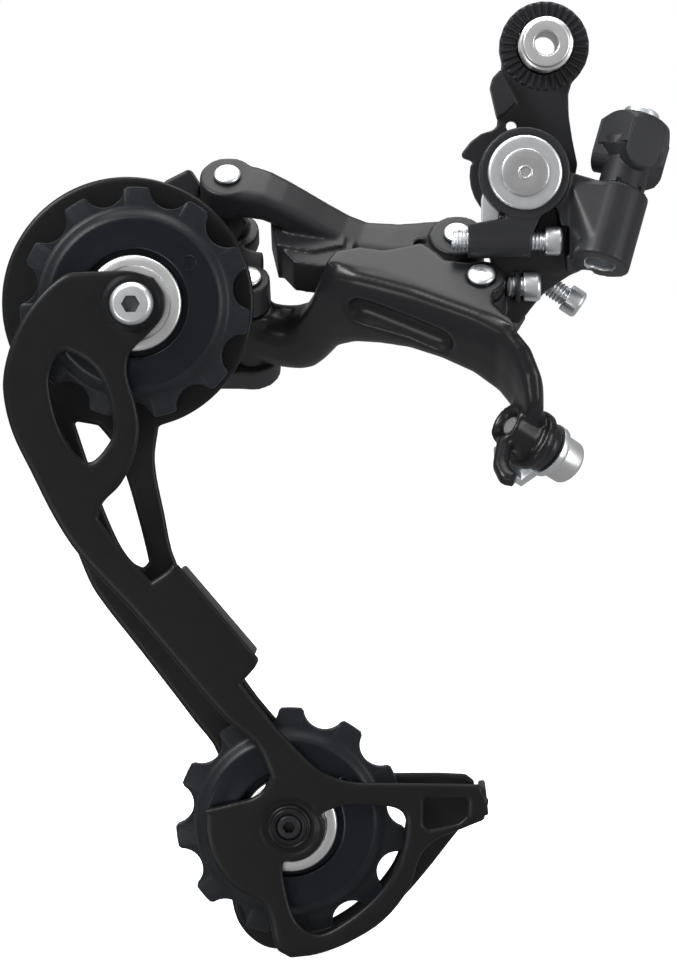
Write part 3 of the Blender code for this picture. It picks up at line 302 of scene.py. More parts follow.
def lathe_mesh(profile, steps=64, warp=None):
    """A surface of revolution about z from a (radius, height) profile, top to bottom.

    The profile closes on itself where its first radius isn't zero. warp takes (radius, height,
    angle) and gives the (radius, height) there.
    """
    solid = bmesh.new()
    closed = profile[0][0] > 1e-6
    rings = []
    for radius, height in profile:
        if radius <= 1e-6:
            rings.append([solid.verts.new((0, 0, height * MM))])
            continue
        ring = []
        for step in range(steps):
            angle = 2 * math.pi * step / steps
            r, h = warp(radius, height, angle) if warp else (radius, height)
            x, y = r * math.cos(angle) * MM, r * math.sin(angle) * MM
            ring.append(solid.verts.new((x, y, h * MM)))
        rings.append(ring)
    pairs = list(zip(rings, rings[1:]))
    if closed:
        pairs.append((rings[-1], rings[0]))
    for first, second in pairs:
        for step in range(steps):
            after = (step + 1) % steps
            corners = [first[step % len(first)], first[after % len(first)],
                       second[after % len(second)], second[step % len(second)]]
            ring = []
            for corner in corners:
                if corner not in ring:
                    ring.append(corner)
            if len(ring) > 2:
                solid.faces.new(ring)
    bmesh.ops.recalc_face_normals(solid, faces=solid.faces)
    mesh = bpy.data.meshes.new("lathe")
    solid.to_mesh(mesh)
    solid.free()
    return mesh


def lathe(name, corners, matrix, material, steps=64, warp=None, fillet_steps=3):
    """A turned piece from filleted corners."""
    mesh = lathe_mesh(filleted(corners, fillet_steps), steps, warp)
    return new_object(name, mesh, material, matrix)


def prism_mesh(outline, low, high, matrix=None):
    """An upright prism over a plane outline, between two heights."""
    solid = bmesh.new()
    floor = [solid.verts.new((x * MM, y * MM, low * MM)) for x, y in outline]
    roof = [solid.verts.new((x * MM, y * MM, high * MM)) for x, y in outline]
    solid.faces.new(list(reversed(floor)))
    solid.faces.new(roof)
    count = len(outline)
    for index in range(count):
        after = (index + 1) % count
        solid.faces.new((floor[index], floor[after], roof[after], roof[index]))
    bmesh.ops.recalc_face_normals(solid, faces=solid.faces)
    mesh = bpy.data.meshes.new("prism")
    solid.to_mesh(mesh)
    solid.free()
    if matrix is not None:
        mesh.transform(matrix)
    return mesh


def ngon(radius, sides, turn=0.0):
    """The corners of a regular polygon."""
    return [(radius * math.cos(2 * math.pi * k / sides + turn),
             radius * math.sin(2 * math.pi * k / sides + turn)) for k in range(sides)]


def combined(mesh, other, operation):
    """The exact boolean of two closed meshes."""
    blade = bpy.data.objects.new("blade", other)
    bpy.context.scene.collection.objects.link(blade)
    step = ("BOOLEAN", {"operation": operation, "solver": "EXACT", "object": blade})
    result = evaluated("combined", mesh, [step])
    bpy.data.objects.remove(blade, do_unlink=True)
    return result


def carved(mesh, cutters):
    """The mesh with closed cutter meshes taken out of it."""
    for cutter in cutters:
        mesh = combined(mesh, cutter, "DIFFERENCE")
    return mesh


def hull_mesh(points):
    """The convex solid round a set of points in millimetres."""
    solid = bmesh.new()
    for point in points:
        solid.verts.new(Vector(point) * MM)
    made = bmesh.ops.convex_hull(solid, input=solid.verts)
    spare = {item for item in made["geom_interior"] + made["geom_unused"]
             if isinstance(item, bmesh.types.BMVert)}
    bmesh.ops.delete(solid, geom=list(spare), context="VERTS")
    mesh = bpy.data.meshes.new("hull")
    solid.to_mesh(mesh)
    solid.free()
    return mesh


def hex_socket(radius, low, high):
    """A closed hexagonal cutter on z."""
    return prism_mesh(ngon(radius, 6), low, high)


def thread_mesh(radius, depth, pitch, low, high, steps=36):
    """A bar with a helical thread cut in it, about z, with its ends run out."""
    rows_per_turn = 8
    rows = int((high - low) / pitch * rows_per_turn) + 1
    profile = [(0.0, high)]
    for row in range(rows + 1):
        profile.append((radius, high - (high - low) * row / rows))
    profile.append((0.0, low))

    def helix(r, h, angle):
        turn = (h / pitch + angle / (2 * math.pi)) % 1.0
        ridge = abs(turn * 2 - 1)
        ridge = min(1.0, max(0.0, ridge * 1.5 - 0.25))
        end = min(1.0, (high - h) / (pitch * 0.5), (h - low) / (pitch * 0.8))
        return radius - depth * (1 - ridge * max(0.0, end)), h

    return lathe_mesh(profile, steps, helix)


def stands_for(piece, body, slot, *nodes):
    """Attach a piece to the body that it rides on and hide the nodes it replaces; slot is not used.
    """
    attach(piece, body)
    if nodes:
        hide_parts(*nodes)
    return piece


def restyle(node, material):
    """Give a CAD node that stays in view its material."""
    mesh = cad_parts[node].data
    mesh.materials.clear()
    mesh.materials.append(material)


# ---------------------------------------------------------------- camera, light and floor

CAMERA_TARGET = Vector((-38.711, -8.0, -81.659))
CAMERA_DISTANCE = 560.0
CAMERA_AZIMUTH = math.radians(1.5)
CAMERA_ELEVATION = math.radians(4.3)
LENS = 111.3
FLOOR_DROP = 0.3
FLOOR_REACH = 1800.0
FLOOR_GLOW = 0.75
ROOM_LIGHT = 0.32


def add_camera():
    """The camera at the photograph's angle, on the wheel side and a little above."""
    back = Vector((math.sin(CAMERA_AZIMUTH) * math.cos(CAMERA_ELEVATION),
                   -math.cos(CAMERA_AZIMUTH) * math.cos(CAMERA_ELEVATION),
                   math.sin(CAMERA_ELEVATION)))
    lens = bpy.data.cameras.new("camera")
    lens.lens = LENS
    lens.sensor_fit = "VERTICAL"
    lens.sensor_height = 36.0
    lens.clip_start = 0.01
    lens.clip_end = 20.0
    camera = bpy.data.objects.new("camera", lens)
    camera.location = (CAMERA_TARGET + back * CAMERA_DISTANCE) * MM
    camera.rotation_euler = (-back).to_track_quat("-Z", "Y").to_euler()
    bpy.context.scene.collection.objects.link(camera)
    bpy.context.scene.camera = camera


def softbox(name, place, target, size, power, colour=(1, 1, 1)):
    """A large rectangular light that faces a point; place and target are in millimetres."""
    lamp = bpy.data.lights.new(name, "AREA")
    lamp.shape = "RECTANGLE"
    lamp.size, lamp.size_y = size[0] * MM, size[1] * MM
    lamp.energy = power
    lamp.color = colour
    made = bpy.data.objects.new(name, lamp)
    made.location = Vector(place) * MM
    aim = Vector(target) - Vector(place)
    made.rotation_euler = aim.to_track_quat("-Z", "Y").to_euler()
    bpy.context.scene.collection.objects.link(made)


def add_studio():
    """A pale floor, a soft surround and four soft lights."""
    floor_z = CAD_BOX[0][2] / MM - FLOOR_DROP
    white = bpy.data.materials.new("pale_floor")
    white.use_nodes = True
    shader = white.node_tree.nodes["Principled BSDF"]
    shader.inputs["Base Color"].default_value = (0.93, 0.93, 0.935, 1)
    shader.inputs["Roughness"].default_value = 0.9
    shader.inputs["Specular IOR Level"].default_value = 0.1
    shader.inputs["Emission Color"].default_value = (1, 1, 1, 1)
    shader.inputs["Emission Strength"].default_value = FLOOR_GLOW
    reach = FLOOR_REACH
    corners = [(-reach, -reach), (reach, -reach), (reach, reach), (-reach, reach)]
    mesh = bpy.data.meshes.new("floor")
    mesh.from_pydata([(x * MM, y * MM, floor_z * MM) for x, y in corners], [], [(0, 1, 2, 3)])
    floor = new_object("floor", mesh, white)
    floor.visible_glossy = False

    world = bpy.data.worlds.new("studio")
    world.use_nodes = True
    tree = world.node_tree
    room = tree.nodes["Background"]
    room.inputs["Color"].default_value = (1, 1, 1, 1)
    room.inputs["Strength"].default_value = ROOM_LIGHT
    seen = tree.nodes.new("ShaderNodeBackground")
    seen.inputs["Color"].default_value = (1, 1, 1, 1)
    seen.inputs["Strength"].default_value = 1.0
    path = tree.nodes.new("ShaderNodeLightPath")
    mix = tree.nodes.new("ShaderNodeMixShader")
    tree.links.new(path.outputs["Is Camera Ray"], mix.inputs["Fac"])
    tree.links.new(room.outputs["Background"], mix.inputs[1])
    tree.links.new(seen.outputs["Background"], mix.inputs[2])
    tree.links.new(mix.outputs["Shader"], tree.nodes["World Output"].inputs["Surface"])
    bpy.context.scene.world = world
    bpy.context.scene.view_settings.view_transform = "Standard"

    middle = (-40, 0, -80)
    softbox("key", (-480, -420, 380), middle, (260, 260), 5.5)
    softbox("fill", (560, -380, -20), middle, (220, 460), 2.2)
    softbox("top", (0, 60, 560), middle, (700, 420), 4.0)
    softbox("low", (-300, -420, -260), middle, (300, 120), 0.8)


add_camera()
add_studio()

# ---------------------------------------------------------------- hanger link and bracket

PAD_TURN = math.radians(15)   # the knob's front pad looks this far to the right of straight ahead


def build_hanger():
    """The hanger link with its serrated seat, and the axle, washer and stop on it."""
    forging = cast("hanger_forging", [node_mesh("hanger_link")], FORGED, 0.26, 6)
    stands_for(forging, "hanger", "black_forged", "hanger_link")

    ribs, inner, outer, depth = 33, 5.45, 8.35, 0.5

    def serrate(r, h, angle):
        if h < 0.05:
            return r, h
        wave = abs((angle * ribs / (2 * math.pi)) % 1.0 * 2 - 1)
        rise = min(1.0, max(0.0, wave * 3.0 - 0.9))
        edge = min(1.0, (8.4 - r) / 0.35) if r > 8.0 else 1.0
        return r, 0.05 + (h - 0.05) * (0.15 + 0.85 * rise * max(0.0, edge))

    seat = lathe("hanger_serrations", [(inner, depth), (6.4, depth), (7.4, depth), (8.0, depth),
                                       (outer, depth * 0.6), (outer, -0.3), (inner, -0.3)],
                 on_axis(HANGER), FORGED, ribs * 16, serrate)
    stands_for(seat, "hanger", "black_forged")

    axle = lathe("axle_rivet", [(0, 14.05), (0.85, 14.05), (1.0, 14.22, 0.05), (1.2, 14.22, 0.05),
                                (1.35, 14.12, 0.05), (2.4, 14.16), (3.9, 14.10), (4.35, 14.02, 0.2),
                                (4.5, 13.8, 0.1), (4.5, 13.55), (AXLE_RADIUS, 13.55),
                                (AXLE_RADIUS, -6.3),
                                (5.6, -6.3, 0.1), (5.6, -7.5, 0.3), (5.0, -7.8, 0.2), (0, -7.8)],
                 on_axis(PIVOT), SATIN_STEEL, 72)
    stands_for(axle, "hanger", "bright_steel", "pivot_axle")
    washer = lathe("axle_washer", [(3.5, 13.5), (4.6, 13.5), (6.1, 13.5, 0.3), (6.6, 13.42, 0.2),
                                   (6.9, 13.15, 0.15), (6.95, 12.78, 0.1), (3.5, 12.75)],
                   on_axis(PIVOT), ZINC, 72)
    stands_for(washer, "hanger", "zinc_steel", "pivot_washer")
    stop = machined("stop_plate", node_mesh("stopper_plate"), ZINC, 0.25)
    stands_for(stop, "hanger", "zinc_steel", "stopper_plate")


def build_mounting_bolt():
    """The hollow bolt: a threaded end toward the wheel and a socket head behind."""
    pitch, depth = 1.0, 0.5

    def helix(r, h, angle):
        if r < 4.9 or h > 8.2 or h < -5.0:
            return r, h
        ridge = abs((h / pitch + angle / (2 * math.pi)) % 1.0 * 2 - 1)
        return r - depth * (1 - min(1.0, max(0.0, ridge * 1.5 - 0.2))), h

    corners = [(2.2, 8.7), (2.45, 9.0, 0.1), (4.2, 9.0, 0.15), (4.5, 8.7, 0.1), (4.55, 8.35)]
    corners += [(BOLT_RADIUS, 8.2 - 0.125 * row) for row in range(106)]
    corners += [(BOLT_RADIUS, -6.3), (7.6, -6.3, 0.1), (7.6, -9.8, 0.3), (6.8, -10.6, 0.3)]
    corners += [(3.4, -10.6), (3.4, -7.0), (2.2, -7.0)]
    body = lathe("hollow_bolt", corners, on_axis(HANGER), BRIGHT_STEEL, 72, helix)
    stands_for(body, "mounting_bolt", "bright_steel", "mounting_bolt")


def shoulder_flow():
    """The swell of the forging from the hub's side out to the boss of the cable adjuster."""
    place = along(*ADJUSTER)
    points = []
    for height, radius in ((-14.6, 4.9), (-13.4, 5.5), (-2.2, 5.5), (-1.5, 5.2)):
        for step in range(24):
            angle = 2 * math.pi * step / 24
            there = Vector((radius * math.cos(angle), radius * math.sin(angle), height))
            points.append(place @ (there * MM) / MM)
    points += [(4.6, -10.6, -26.0), (4.4, -10.9, -33.0), (4.4, -10.4, -41.6), (4.6, -3.0, -27.2),
               (4.4, -3.0, -41.6)]
    flow = hull_mesh(points)
    bore = lathe_mesh([(0, 4), (CABLE_BORE, 4), (CABLE_BORE, -24), (0, -24)], 40)
    bore.transform(place)
    return carved(flow, [bore])


def build_bracket():
    """The bracket forging and the pieces that stay with it."""
    forging = cast("bracket_forging", [node_mesh("bracket_body"), shoulder_flow()], FORGED, 0.28, 8)
    forging.data.materials.append(ZINC)
    back = along(*ADJUSTER).inverted()
    for face in forging.data.polygons:
        spot = back @ face.center / MM
        if math.hypot(spot.x, spot.y) < CABLE_BORE + 0.2 and spot.z < -4:
            face.material_index = 1    # the machined bore is bare metal
    stands_for(forging, "bracket", "black_forged", "bracket_body")
    stud = lathe("adjuster_tube", [(1.1, 9.0), (2.2, 9.0), (2.4, 8.7), (2.4, -10.8), (2.2, -11.0),
                                   (1.1, -11.0)], along(*ADJUSTER), ZINC, 40)
    stands_for(stud, "bracket", "zinc_steel", "adjuster_stud")
    restyle("pivot_bushing", BRONZE)


def paint_socket_shade(piece, matrix, radius, low, high):
    """Paint shade on the walls and floor of a socket, a dull grey that stands for the shade in the
    recess; the socket is on the matrix's z.
    """
    piece.data.materials.append(PAINTED_SOCKET_SHADE)
    back = matrix.inverted()
    for face in piece.data.polygons:
        place = back @ face.center / MM
        if math.hypot(place.x, place.y) < radius and low <= place.z <= high:
            # painted shade on the socket's walls and floor
            face.material_index = 1


def build_screw(name, node, body, place):
    """A cap screw: threaded shank, cylindrical head with a rounded rim, and a hexagon socket."""
    point, direction, length = place
    width, head = SCREW_HEAD
    shank = thread_mesh(1.95, 0.28, 0.7, 0.0, length + 0.2)
    cap = lathe_mesh(filleted([(0, length + head), (2.3, length + head, 0.25),
                               (width, length + head - 0.5, 0.25), (width, length + 0.1, 0.2),
                               (0, length)]), 40)
    cap = carved(cap, [hex_socket(1.5, length + 1.2, length + head + 1)])
    screw = new_object(name, merged([shank, cap]), ZINC, along(point, direction), 40)
    paint_socket_shade(screw, along(point, direction), 1.49, length + 1.1, length + head - 0.1)
    stands_for(screw, body, "zinc_steel", node)


def build_adjuster():
    """The cable adjuster's moulded knob, with a pad on every other face, and its bright cup."""
    place = along(*ADJUSTER)
    ahead = place.to_3x3().inverted() @ Vector((math.sin(PAD_TURN), -math.cos(PAD_TURN), 0))
    first = math.atan2(ahead.y, ahead.x)
    neck = lathe_mesh(filleted([(2.7, 9.0), (4.1, 9.0), (4.4, 8.0), (4.4, -0.7, 0.2),
                                (4.1, -0.9, 0.1), (2.7, -0.9)]), 48)
    parts = [neck, prism_mesh(ngon(6.9, 6, first - math.radians(30)), 6.7, 13.6)]
    parts.append(lathe_mesh([(2.7, 8.0), (6.3, 8.0), (6.0, 6.4), (4.3, 4.6), (2.7, 4.6)], 48))
    half = 3.3
    tongue = [(-half, 12.4), (half, 12.4)]
    tongue += [(half * math.cos(math.radians(a)), 5.6 + half * 0.95 * math.sin(math.radians(a)))
               for a in range(0, -181, -15)]
    side = Matrix.Rotation(math.pi / 2, 4, "Z") @ Matrix.Rotation(math.pi / 2, 4, "X")
    for lobe in range(3):
        turn = Matrix.Rotation(first + math.radians(120 * lobe), 4, "Z")
        parts.append(prism_mesh(tongue, 3.4, 6.6, turn @ side))
    crown = lathe_mesh([(0, 14.2), (4.6, 14.2), (5.9, 13.4), (7.3, 11.6), (7.3, 3.6),
                        (5.6, 2.1), (4.5, 2.0), (4.5, -1.2), (0, -1.2)], 48)
    bore = lathe_mesh([(0, 17), (3.05, 17), (3.05, 9.4), (2.65, 9.4), (2.65, -2), (0, -2)], 32)
    steps = [("REMESH", {"mode": "VOXEL", "voxel_size": 0.12 * MM})]
    body = evaluated("knob", merged(parts), steps)
    knob = carved(combined(body, crown, "INTERSECT"), [bore])
    for notch in range(6):
        turn = Matrix.Rotation(first + math.radians(60 * notch + 30), 4, "Z")
        blade = prism_mesh([(3.9, -0.5), (6, -0.5), (6, 0.5), (3.9, 0.5)], -1.2, 0.2, turn)
        knob = carved(knob, [blade])
    knob = evaluated("knob", knob, [("SMOOTH", {"factor": 0.5, "iterations": 3}),
                                    ("DECIMATE", {"ratio": 0.5})])
    knob = new_object("adjuster_grip", knob, MOULDED, place, 60)
    stands_for(knob, "adjuster", "black_plastic", "adjuster_knob")
    cup = lathe("adjuster_cup", [(2.55, 15.6), (2.7, 15.8, 0.1), (3.3, 15.8, 0.2),
                                 (3.45, 15.5, 0.1), (3.45, 14.4), (2.75, 14.4), (2.75, 9.7),
                                 (1.0, 9.7), (1.0, 10.4), (2.55, 10.4)], place, ZINC, 56)
    stands_for(cup, "adjuster", "zinc_steel", "adjuster_ferrule")


build_hanger()
build_mounting_bolt()
build_bracket()
build_screw("high_limit_screw", "limit_screw_high", "limit_screw_high", LIMIT_HIGH)
build_screw("low_limit_screw", "limit_screw_low", "limit_screw_low", LIMIT_LOW)
build_screw("tension_adjust_screw", "b_tension_screw", "b_tension_screw", TENSION_SCREW)
build_adjuster()

# ---------------------------------------------------------------- linkage

def build_pin(name, node, body, place, head, foot):
    """A link pin with a domed, bright head."""
    corners = [(0, head + 0.12), (0.45, head + 0.12), (0.6, head + 0.05), (1.4, head, 0.3),
               (2.2, head - 0.15, 0.3), (2.6, head - 0.45, 0.2), (2.6, head - 0.88, 0.1),
               (1.8, head - 0.9), (1.8, foot + 0.3, 0.1), (1.5, foot), (0, foot)]
    pin = lathe(name, corners, link_frame(*place), ZINC, 48)
    stands_for(pin, body, "zinc_steel", node)


def build_linkage():
    """Both links, their pins, the return spring and the cable clamp."""
    inner = cast("inner_link_forging", [node_mesh("inner_link")], GLOSS, 0.34, 30, 1)
    stands_for(inner, "inner_link", "black_gloss", "inner_link")
    web = prism_mesh([(-51.9, -14.0), (-38.0, -16.5), (-36.0, -19.0), (-36.6, -24.4),
                      (-42.0, -26.2), (-47.6, -25.0), (-50.4, -21.0)], -18.2, -10.4, link_frame())
    outer = cast("outer_link_forging", [node_mesh("outer_link"), web], FORGED, 0.30, 10)
    stands_for(outer, "outer_link", "black_forged", "outer_link")
    build_pin("front_inner_pin", "bracket_inner_pin", "bracket", BRACKET_INNER, 0.0, -14.0)
    build_pin("front_outer_pin", "bracket_outer_pin", "bracket", BRACKET_OUTER, -6.0, -21.0)
    build_pin("rear_inner_pin", "knuckle_inner_pin", "knuckle", KNUCKLE_INNER, -10.35, -36.0)
    build_pin("rear_outer_pin", "knuckle_outer_pin", "knuckle", KNUCKLE_OUTER, 0.0, -17.0)
    restyle("return_spring", SPRING_STEEL)

    low, high = 1.2, CLAMP_BOSS + 5.4
    head = lathe_mesh(filleted([(0, high + 4.6), (3.5, high + 4.6, 0.3), (4.25, high + 3.9, 0.3),
                                (4.35, high + 0.1, 0.15), (1.95, high), (1.95, low + 0.4),
                                (1.6, low), (0, low)]), 56)
    head = carved(head, [hex_socket(2.3, high + 2.0, high + 6)])
    bolt = new_object("clamp_screw", head, BRIGHT_STEEL, clamp_frame(), 40)
    paint_socket_shade(bolt, clamp_frame(), 2.29, high + 1.9, high + 4.5)
    stands_for(bolt, "clamp_bolt", "bright_steel", "cable_clamp_bolt")
    wing = machined("clamp_wing", node_mesh("cable_clamp_plate"), ZINC, 0.2)
    stands_for(wing, "inner_link", "zinc_steel", "cable_clamp_plate")
    spacer = machined("clamp_washer", node_mesh("cable_clamp_spacer"), BLACK_STEEL, 0.2)
    stands_for(spacer, "inner_link", "black_forged", "cable_clamp_spacer")


build_linkage()

# ---------------------------------------------------------------- knuckle and cage

def build_knuckle():
    """The knuckle forging with its cap; its spring keeps the CAD shape."""
    forging = cast("knuckle_forging", [node_mesh("cage_knuckle")], FORGED, 0.34, 8)
    stands_for(forging, "knuckle", "black_forged", "cage_knuckle")
    cap = lathe("knuckle_cover", [(0, -20.2), (9.9, -20.2), (9.9, -21.4, 0.4), (9.0, -22.4, 0.6),
                                  (4.0, -22.4), (3.4, -22.1), (0, -22.1)],
                on_axis(CAGE), MOULDED, 72)
    stands_for(cap, "knuckle", "black_plastic", "knuckle_cap")
    restyle("cage_spring", SPRING_STEEL)


def plate_loops(node, depth):
    """The outline and the openings of a CAD plate, as plane (x, z) loops in millimetres.

    They are read from the plate's face at the given depth along Y.
    """
    solid = bmesh.new()
    solid.from_mesh(node_mesh(node))
    level = [f for f in solid.faces if abs(f.normal.y) > 0.99
             and abs(f.calc_center_median().y / MM - depth) < 0.05]
    ahead = {}
    for face in level:
        for loop in face.loops:
            mates = [f for f in loop.edge.link_faces if f is not face and f in level]
            if not mates:
                ahead[loop.vert.index] = loop.link_loop_next.vert.index
    places = {v.index: (v.co.x / MM, v.co.z / MM) for v in solid.verts}
    loops = []
    while ahead:
        start = next(iter(ahead))
        ring, here = [], start
        while here in ahead:
            ring.append(places[here])
            here = ahead.pop(here)
        loops.append(ring)
    solid.free()
    return loops


def eased(ring, corner=42.0, steps=4):
    """The ring with a smooth curve through its points, apart from its true corners."""
    count = len(ring)
    points = [Vector(p) for p in ring]
    sharp = []
    for index in range(count):
        back = points[index] - points[index - 1]
        on = points[(index + 1) % count] - points[index]
        sharp.append(abs(back.angle_signed(on, 0)) > math.radians(corner))
    drawn = []
    for index in range(count):
        after = (index + 1) % count
        start, end = points[index], points[after]
        reach = (end - start).length
        leave = (end - start) if sharp[index] else (end - points[index - 1])
        arrive = (end - start) if sharp[after] else (points[(after + 1) % count] - start)
        leave = leave.normalized() * reach if leave.length else leave
        arrive = arrive.normalized() * reach if arrive.length else arrive
        pieces = steps if reach > 0.8 else 1
        for step in range(pieces):
            t = step / pieces
            drawn.append(start * (2 * t ** 3 - 3 * t * t + 1) + leave * (t ** 3 - 2 * t * t + t)
                         + end * (3 * t * t - 2 * t ** 3) + arrive * (t ** 3 - t * t))
    return drawn


def pressed_plate(name, rings, front, back, edge):
    """A flat pressed plate between two depths, with rounded edges."""
    flat = bpy.data.curves.new(name, "CURVE")
    flat.dimensions = "2D"
    flat.fill_mode = "BOTH"
    flat.extrude = ((back - front) / 2 - edge) * MM
    flat.bevel_depth = edge * MM
    flat.bevel_resolution = 3
    flat.offset = -edge * MM
    for ring in rings:
        spline = flat.splines.new("POLY")
        spline.points.add(len(ring) - 1)
        for knot, place in zip(spline.points, ring):
            knot.co = (place[0] * MM, place[1] * MM, 0, 1)
        spline.use_cyclic_u = True
    source = bpy.data.objects.new(name, flat)
    bpy.context.scene.collection.objects.link(source)
    bpy.context.view_layer.update()
    graph = bpy.context.evaluated_depsgraph_get()
    mesh = bpy.data.meshes.new_from_object(source.evaluated_get(graph))
    bpy.data.objects.remove(source, do_unlink=True)
    weld = bmesh.new()
    weld.from_mesh(mesh)
    bmesh.ops.remove_doubles(weld, verts=weld.verts, dist=0.002 * MM)
    bmesh.ops.recalc_face_normals(weld, faces=weld.faces)
    weld.to_mesh(mesh)
    weld.free()
    mesh.transform(facing_wheel(0, (front + back) / 2, 0))
    return mesh


def stamped(name, mesh, rings, front, material, relief, roll=0.35, reach=1.3):
    """A pressed plate with rolled edges on its wheel side and a relief pressed into it.

    relief takes a plane point and gives how far the plate is pushed back there, in millimetres.
    """
    steps = [("REMESH", {"mode": "VOXEL", "voxel_size": 0.30 * MM})]
    mesh = evaluated(name, mesh, steps)
    samples = []
    for ring in rings:
        for index, point in enumerate(ring):
            after = ring[(index + 1) % len(ring)]
            pieces = max(1, int((after - point).length / 0.3))
            samples += [point.lerp(after, k / pieces) for k in range(pieces)]
    tree = KDTree(len(samples))
    for index, point in enumerate(samples):
        tree.insert((point.x, point.y, 0), index)
    tree.balance()
    middle = (front + 0.8) * MM
    for vert in mesh.vertices:
        x, z = vert.co.x / MM, vert.co.z / MM
        push = relief(x, z)
        if vert.co.y < middle:
            near = tree.find((x, z, 0))[2]
            if near < reach:
                push += roll * (1 - near / reach) ** 2
        vert.co.y += push * MM
    steps = [("SMOOTH", {"factor": 0.5, "iterations": 3}), ("DECIMATE", {"ratio": 0.4})]
    return new_object(name, evaluated(name, mesh, steps), material, angle=60)


def ramp(value, low, high):
    """0 below low, 1 above high, and a smooth rise between."""
    t = min(1.0, max(0.0, (value - low) / (high - low)))
    return t * t * (3 - 2 * t)


def real_holes(loops):
    """The loops as smooth rings, with a pressed collar's ring narrowed to the hole in it."""
    rings = []
    for loop in loops:
        cx = (min(p[0] for p in loop) + max(p[0] for p in loop)) / 2
        cz = (min(p[1] for p in loop) + max(p[1] for p in loop)) / 2
        collar = None
        for axis in (GUIDE, TENSION):
            width = max(p[0] for p in loop) - cx
            if math.hypot(cx - axis[0], cz - axis[1]) < 0.4 and width < 6.5:
                collar = axis
        if collar:
            rings.append([Vector(p) for p in arc(collar, 2.7, 0, 350, 35)])
        else:
            rings.append(eased(loop))
    return rings


def build_cage():
    """The two cage plates with their folds, their axle and pin."""
    def dish(x, z):
        guide = math.hypot(x - GUIDE[0], z - GUIDE[1])
        tension = math.hypot(x - TENSION[0], z - TENSION[1])
        return 0.55 * (1 - ramp(guide, 4.7, 5.9)) + 0.4 * (1 - ramp(tension, 4.9, 5.9))

    rings = real_holes(plate_loops("inner_cage_plate", INNER_PLATE[0]))
    mesh = pressed_plate("inner_plate", rings, *INNER_PLATE, PLATE_EDGE)
    plate = stamped("inner_plate", mesh, rings, INNER_PLATE[0], PLATE, dish)
    stands_for(plate, "cage", "black_plate", "inner_cage_plate")
    fold = fold_piece()
    stands_for(fold, "cage", "black_plate")
    rings = real_holes(plate_loops("outer_cage_plate", OUTER_PLATE[0]))
    mesh = pressed_plate("outer_plate", rings, *OUTER_PLATE, PLATE_EDGE)
    plate = stamped("outer_plate", mesh, rings, OUTER_PLATE[0], PLATE, lambda x, z: 0.0, 0.25, 1.0)
    stands_for(plate, "cage", "black_plate", "outer_cage_plate")
    for node in ("cage_axle", "cage_stop_pin"):
        restyle(node, ZINC)
    for node in ("guide_bushing", "tension_bushing"):
        restyle(node, BRONZE)


def fold_piece():
    """The folds that bridge from the inner plate to the outer one."""
    run = math.atan2(-17.6, 15.0)
    turn = on_axis((-60.9, -106.0)) @ Matrix.Rotation(run, 4, "Z")
    bridge = prism_mesh([(-10.6, -1.5), (10.6, -1.5), (10.6, 0.0), (-10.6, 0.0)], 5.9, 15.8, turn)
    turn = on_axis((-11.3, -141.6)) @ Matrix.Rotation(math.radians(-84), 4, "Z")
    end = prism_mesh([(-2.6, -0.7), (2.6, -0.7), (2.6, 0.7), (-2.6, 0.7)], 5.9, 15.8, turn)
    return machined("plate_folds", merged([bridge, end]), PLATE, 0.5, 3)


CHAIN_PITCH = 12.7
TEETH, TIP_RADIUS, ROLLER_RADIUS = 11, 21.7, 4.0
PITCH_RADIUS = CHAIN_PITCH / (2 * math.sin(math.pi / TEETH))
RIM_START = 15.9              # the grained rim's inner radius
MARK_PLACE = (12.7, math.radians(36))


def arc(centre, radius, start, end, steps):
    """Points of a circular arc in degrees, both ends included."""
    return [(centre[0] + radius * math.cos(math.radians(start + (end - start) * k / steps)),
             centre[1] + radius * math.sin(math.radians(start + (end - start) * k / steps)))
            for k in range(steps + 1)]


def tooth_outline(phase, roller):
    """The toothed outline, with each valley a roller's arc on the pitch circle."""
    half_valley = math.degrees(math.acos((TIP_RADIUS ** 2 + PITCH_RADIUS ** 2 - roller ** 2)
                                         / (2 * TIP_RADIUS * PITCH_RADIUS)))
    pitch = 360 / TEETH
    outline = []
    for tooth in range(TEETH):
        middle = phase + tooth * pitch
        tip = pitch / 2 - half_valley - 1.2
        outline += arc((0, 0), TIP_RADIUS, middle - tip, middle + tip, 4)
        valley = math.radians(middle + pitch / 2)
        centre = (PITCH_RADIUS * math.cos(valley), PITCH_RADIUS * math.sin(valley))
        inward = math.degrees(valley) + 180
        outline += arc(centre, roller, inward + 66, inward - 66, 14)
    return outline


def toothed_ring(phase):
    """The chain-bearing ring: its teeth thin toward their tips."""
    layers = [(-1.2, 0.90), (-1.1, 0.97), (-0.8, 1.0), (0.8, 1.0), (1.1, 0.97), (1.2, 0.90)]
    root, hub = 16.9, 14.0
    outline = tooth_outline(phase, ROLLER_RADIUS)
    solid = bmesh.new()
    rings = []
    for height, share in layers:
        ring = []
        for x, y in outline:
            radius = math.hypot(x, y)
            pulled = root + (radius - root) * share if radius > root else radius
            ring.append(solid.verts.new((x / radius * pulled * MM, y / radius * pulled * MM,
                                         height * MM)))
        rings.append(ring)
    ends = []
    for height in (layers[0][0], layers[-1][0]):
        ring = []
        for x, y in outline:
            radius = math.hypot(x, y)
            place = (x / radius * hub * MM, y / radius * hub * MM, height * MM)
            ring.append(solid.verts.new(place))
        ends.append(ring)
    rings = [ends[0]] + rings + [ends[1]]
    count = len(outline)
    for first, second in zip(rings, rings[1:] + rings[:1]):
        for index in range(count):
            after = (index + 1) % count
            solid.faces.new((first[index], first[after], second[after], second[index]))
    bmesh.ops.recalc_face_normals(solid, faces=solid.faces)
    mesh = bpy.data.meshes.new("teeth")
    solid.to_mesh(mesh)
    solid.free()
    return mesh


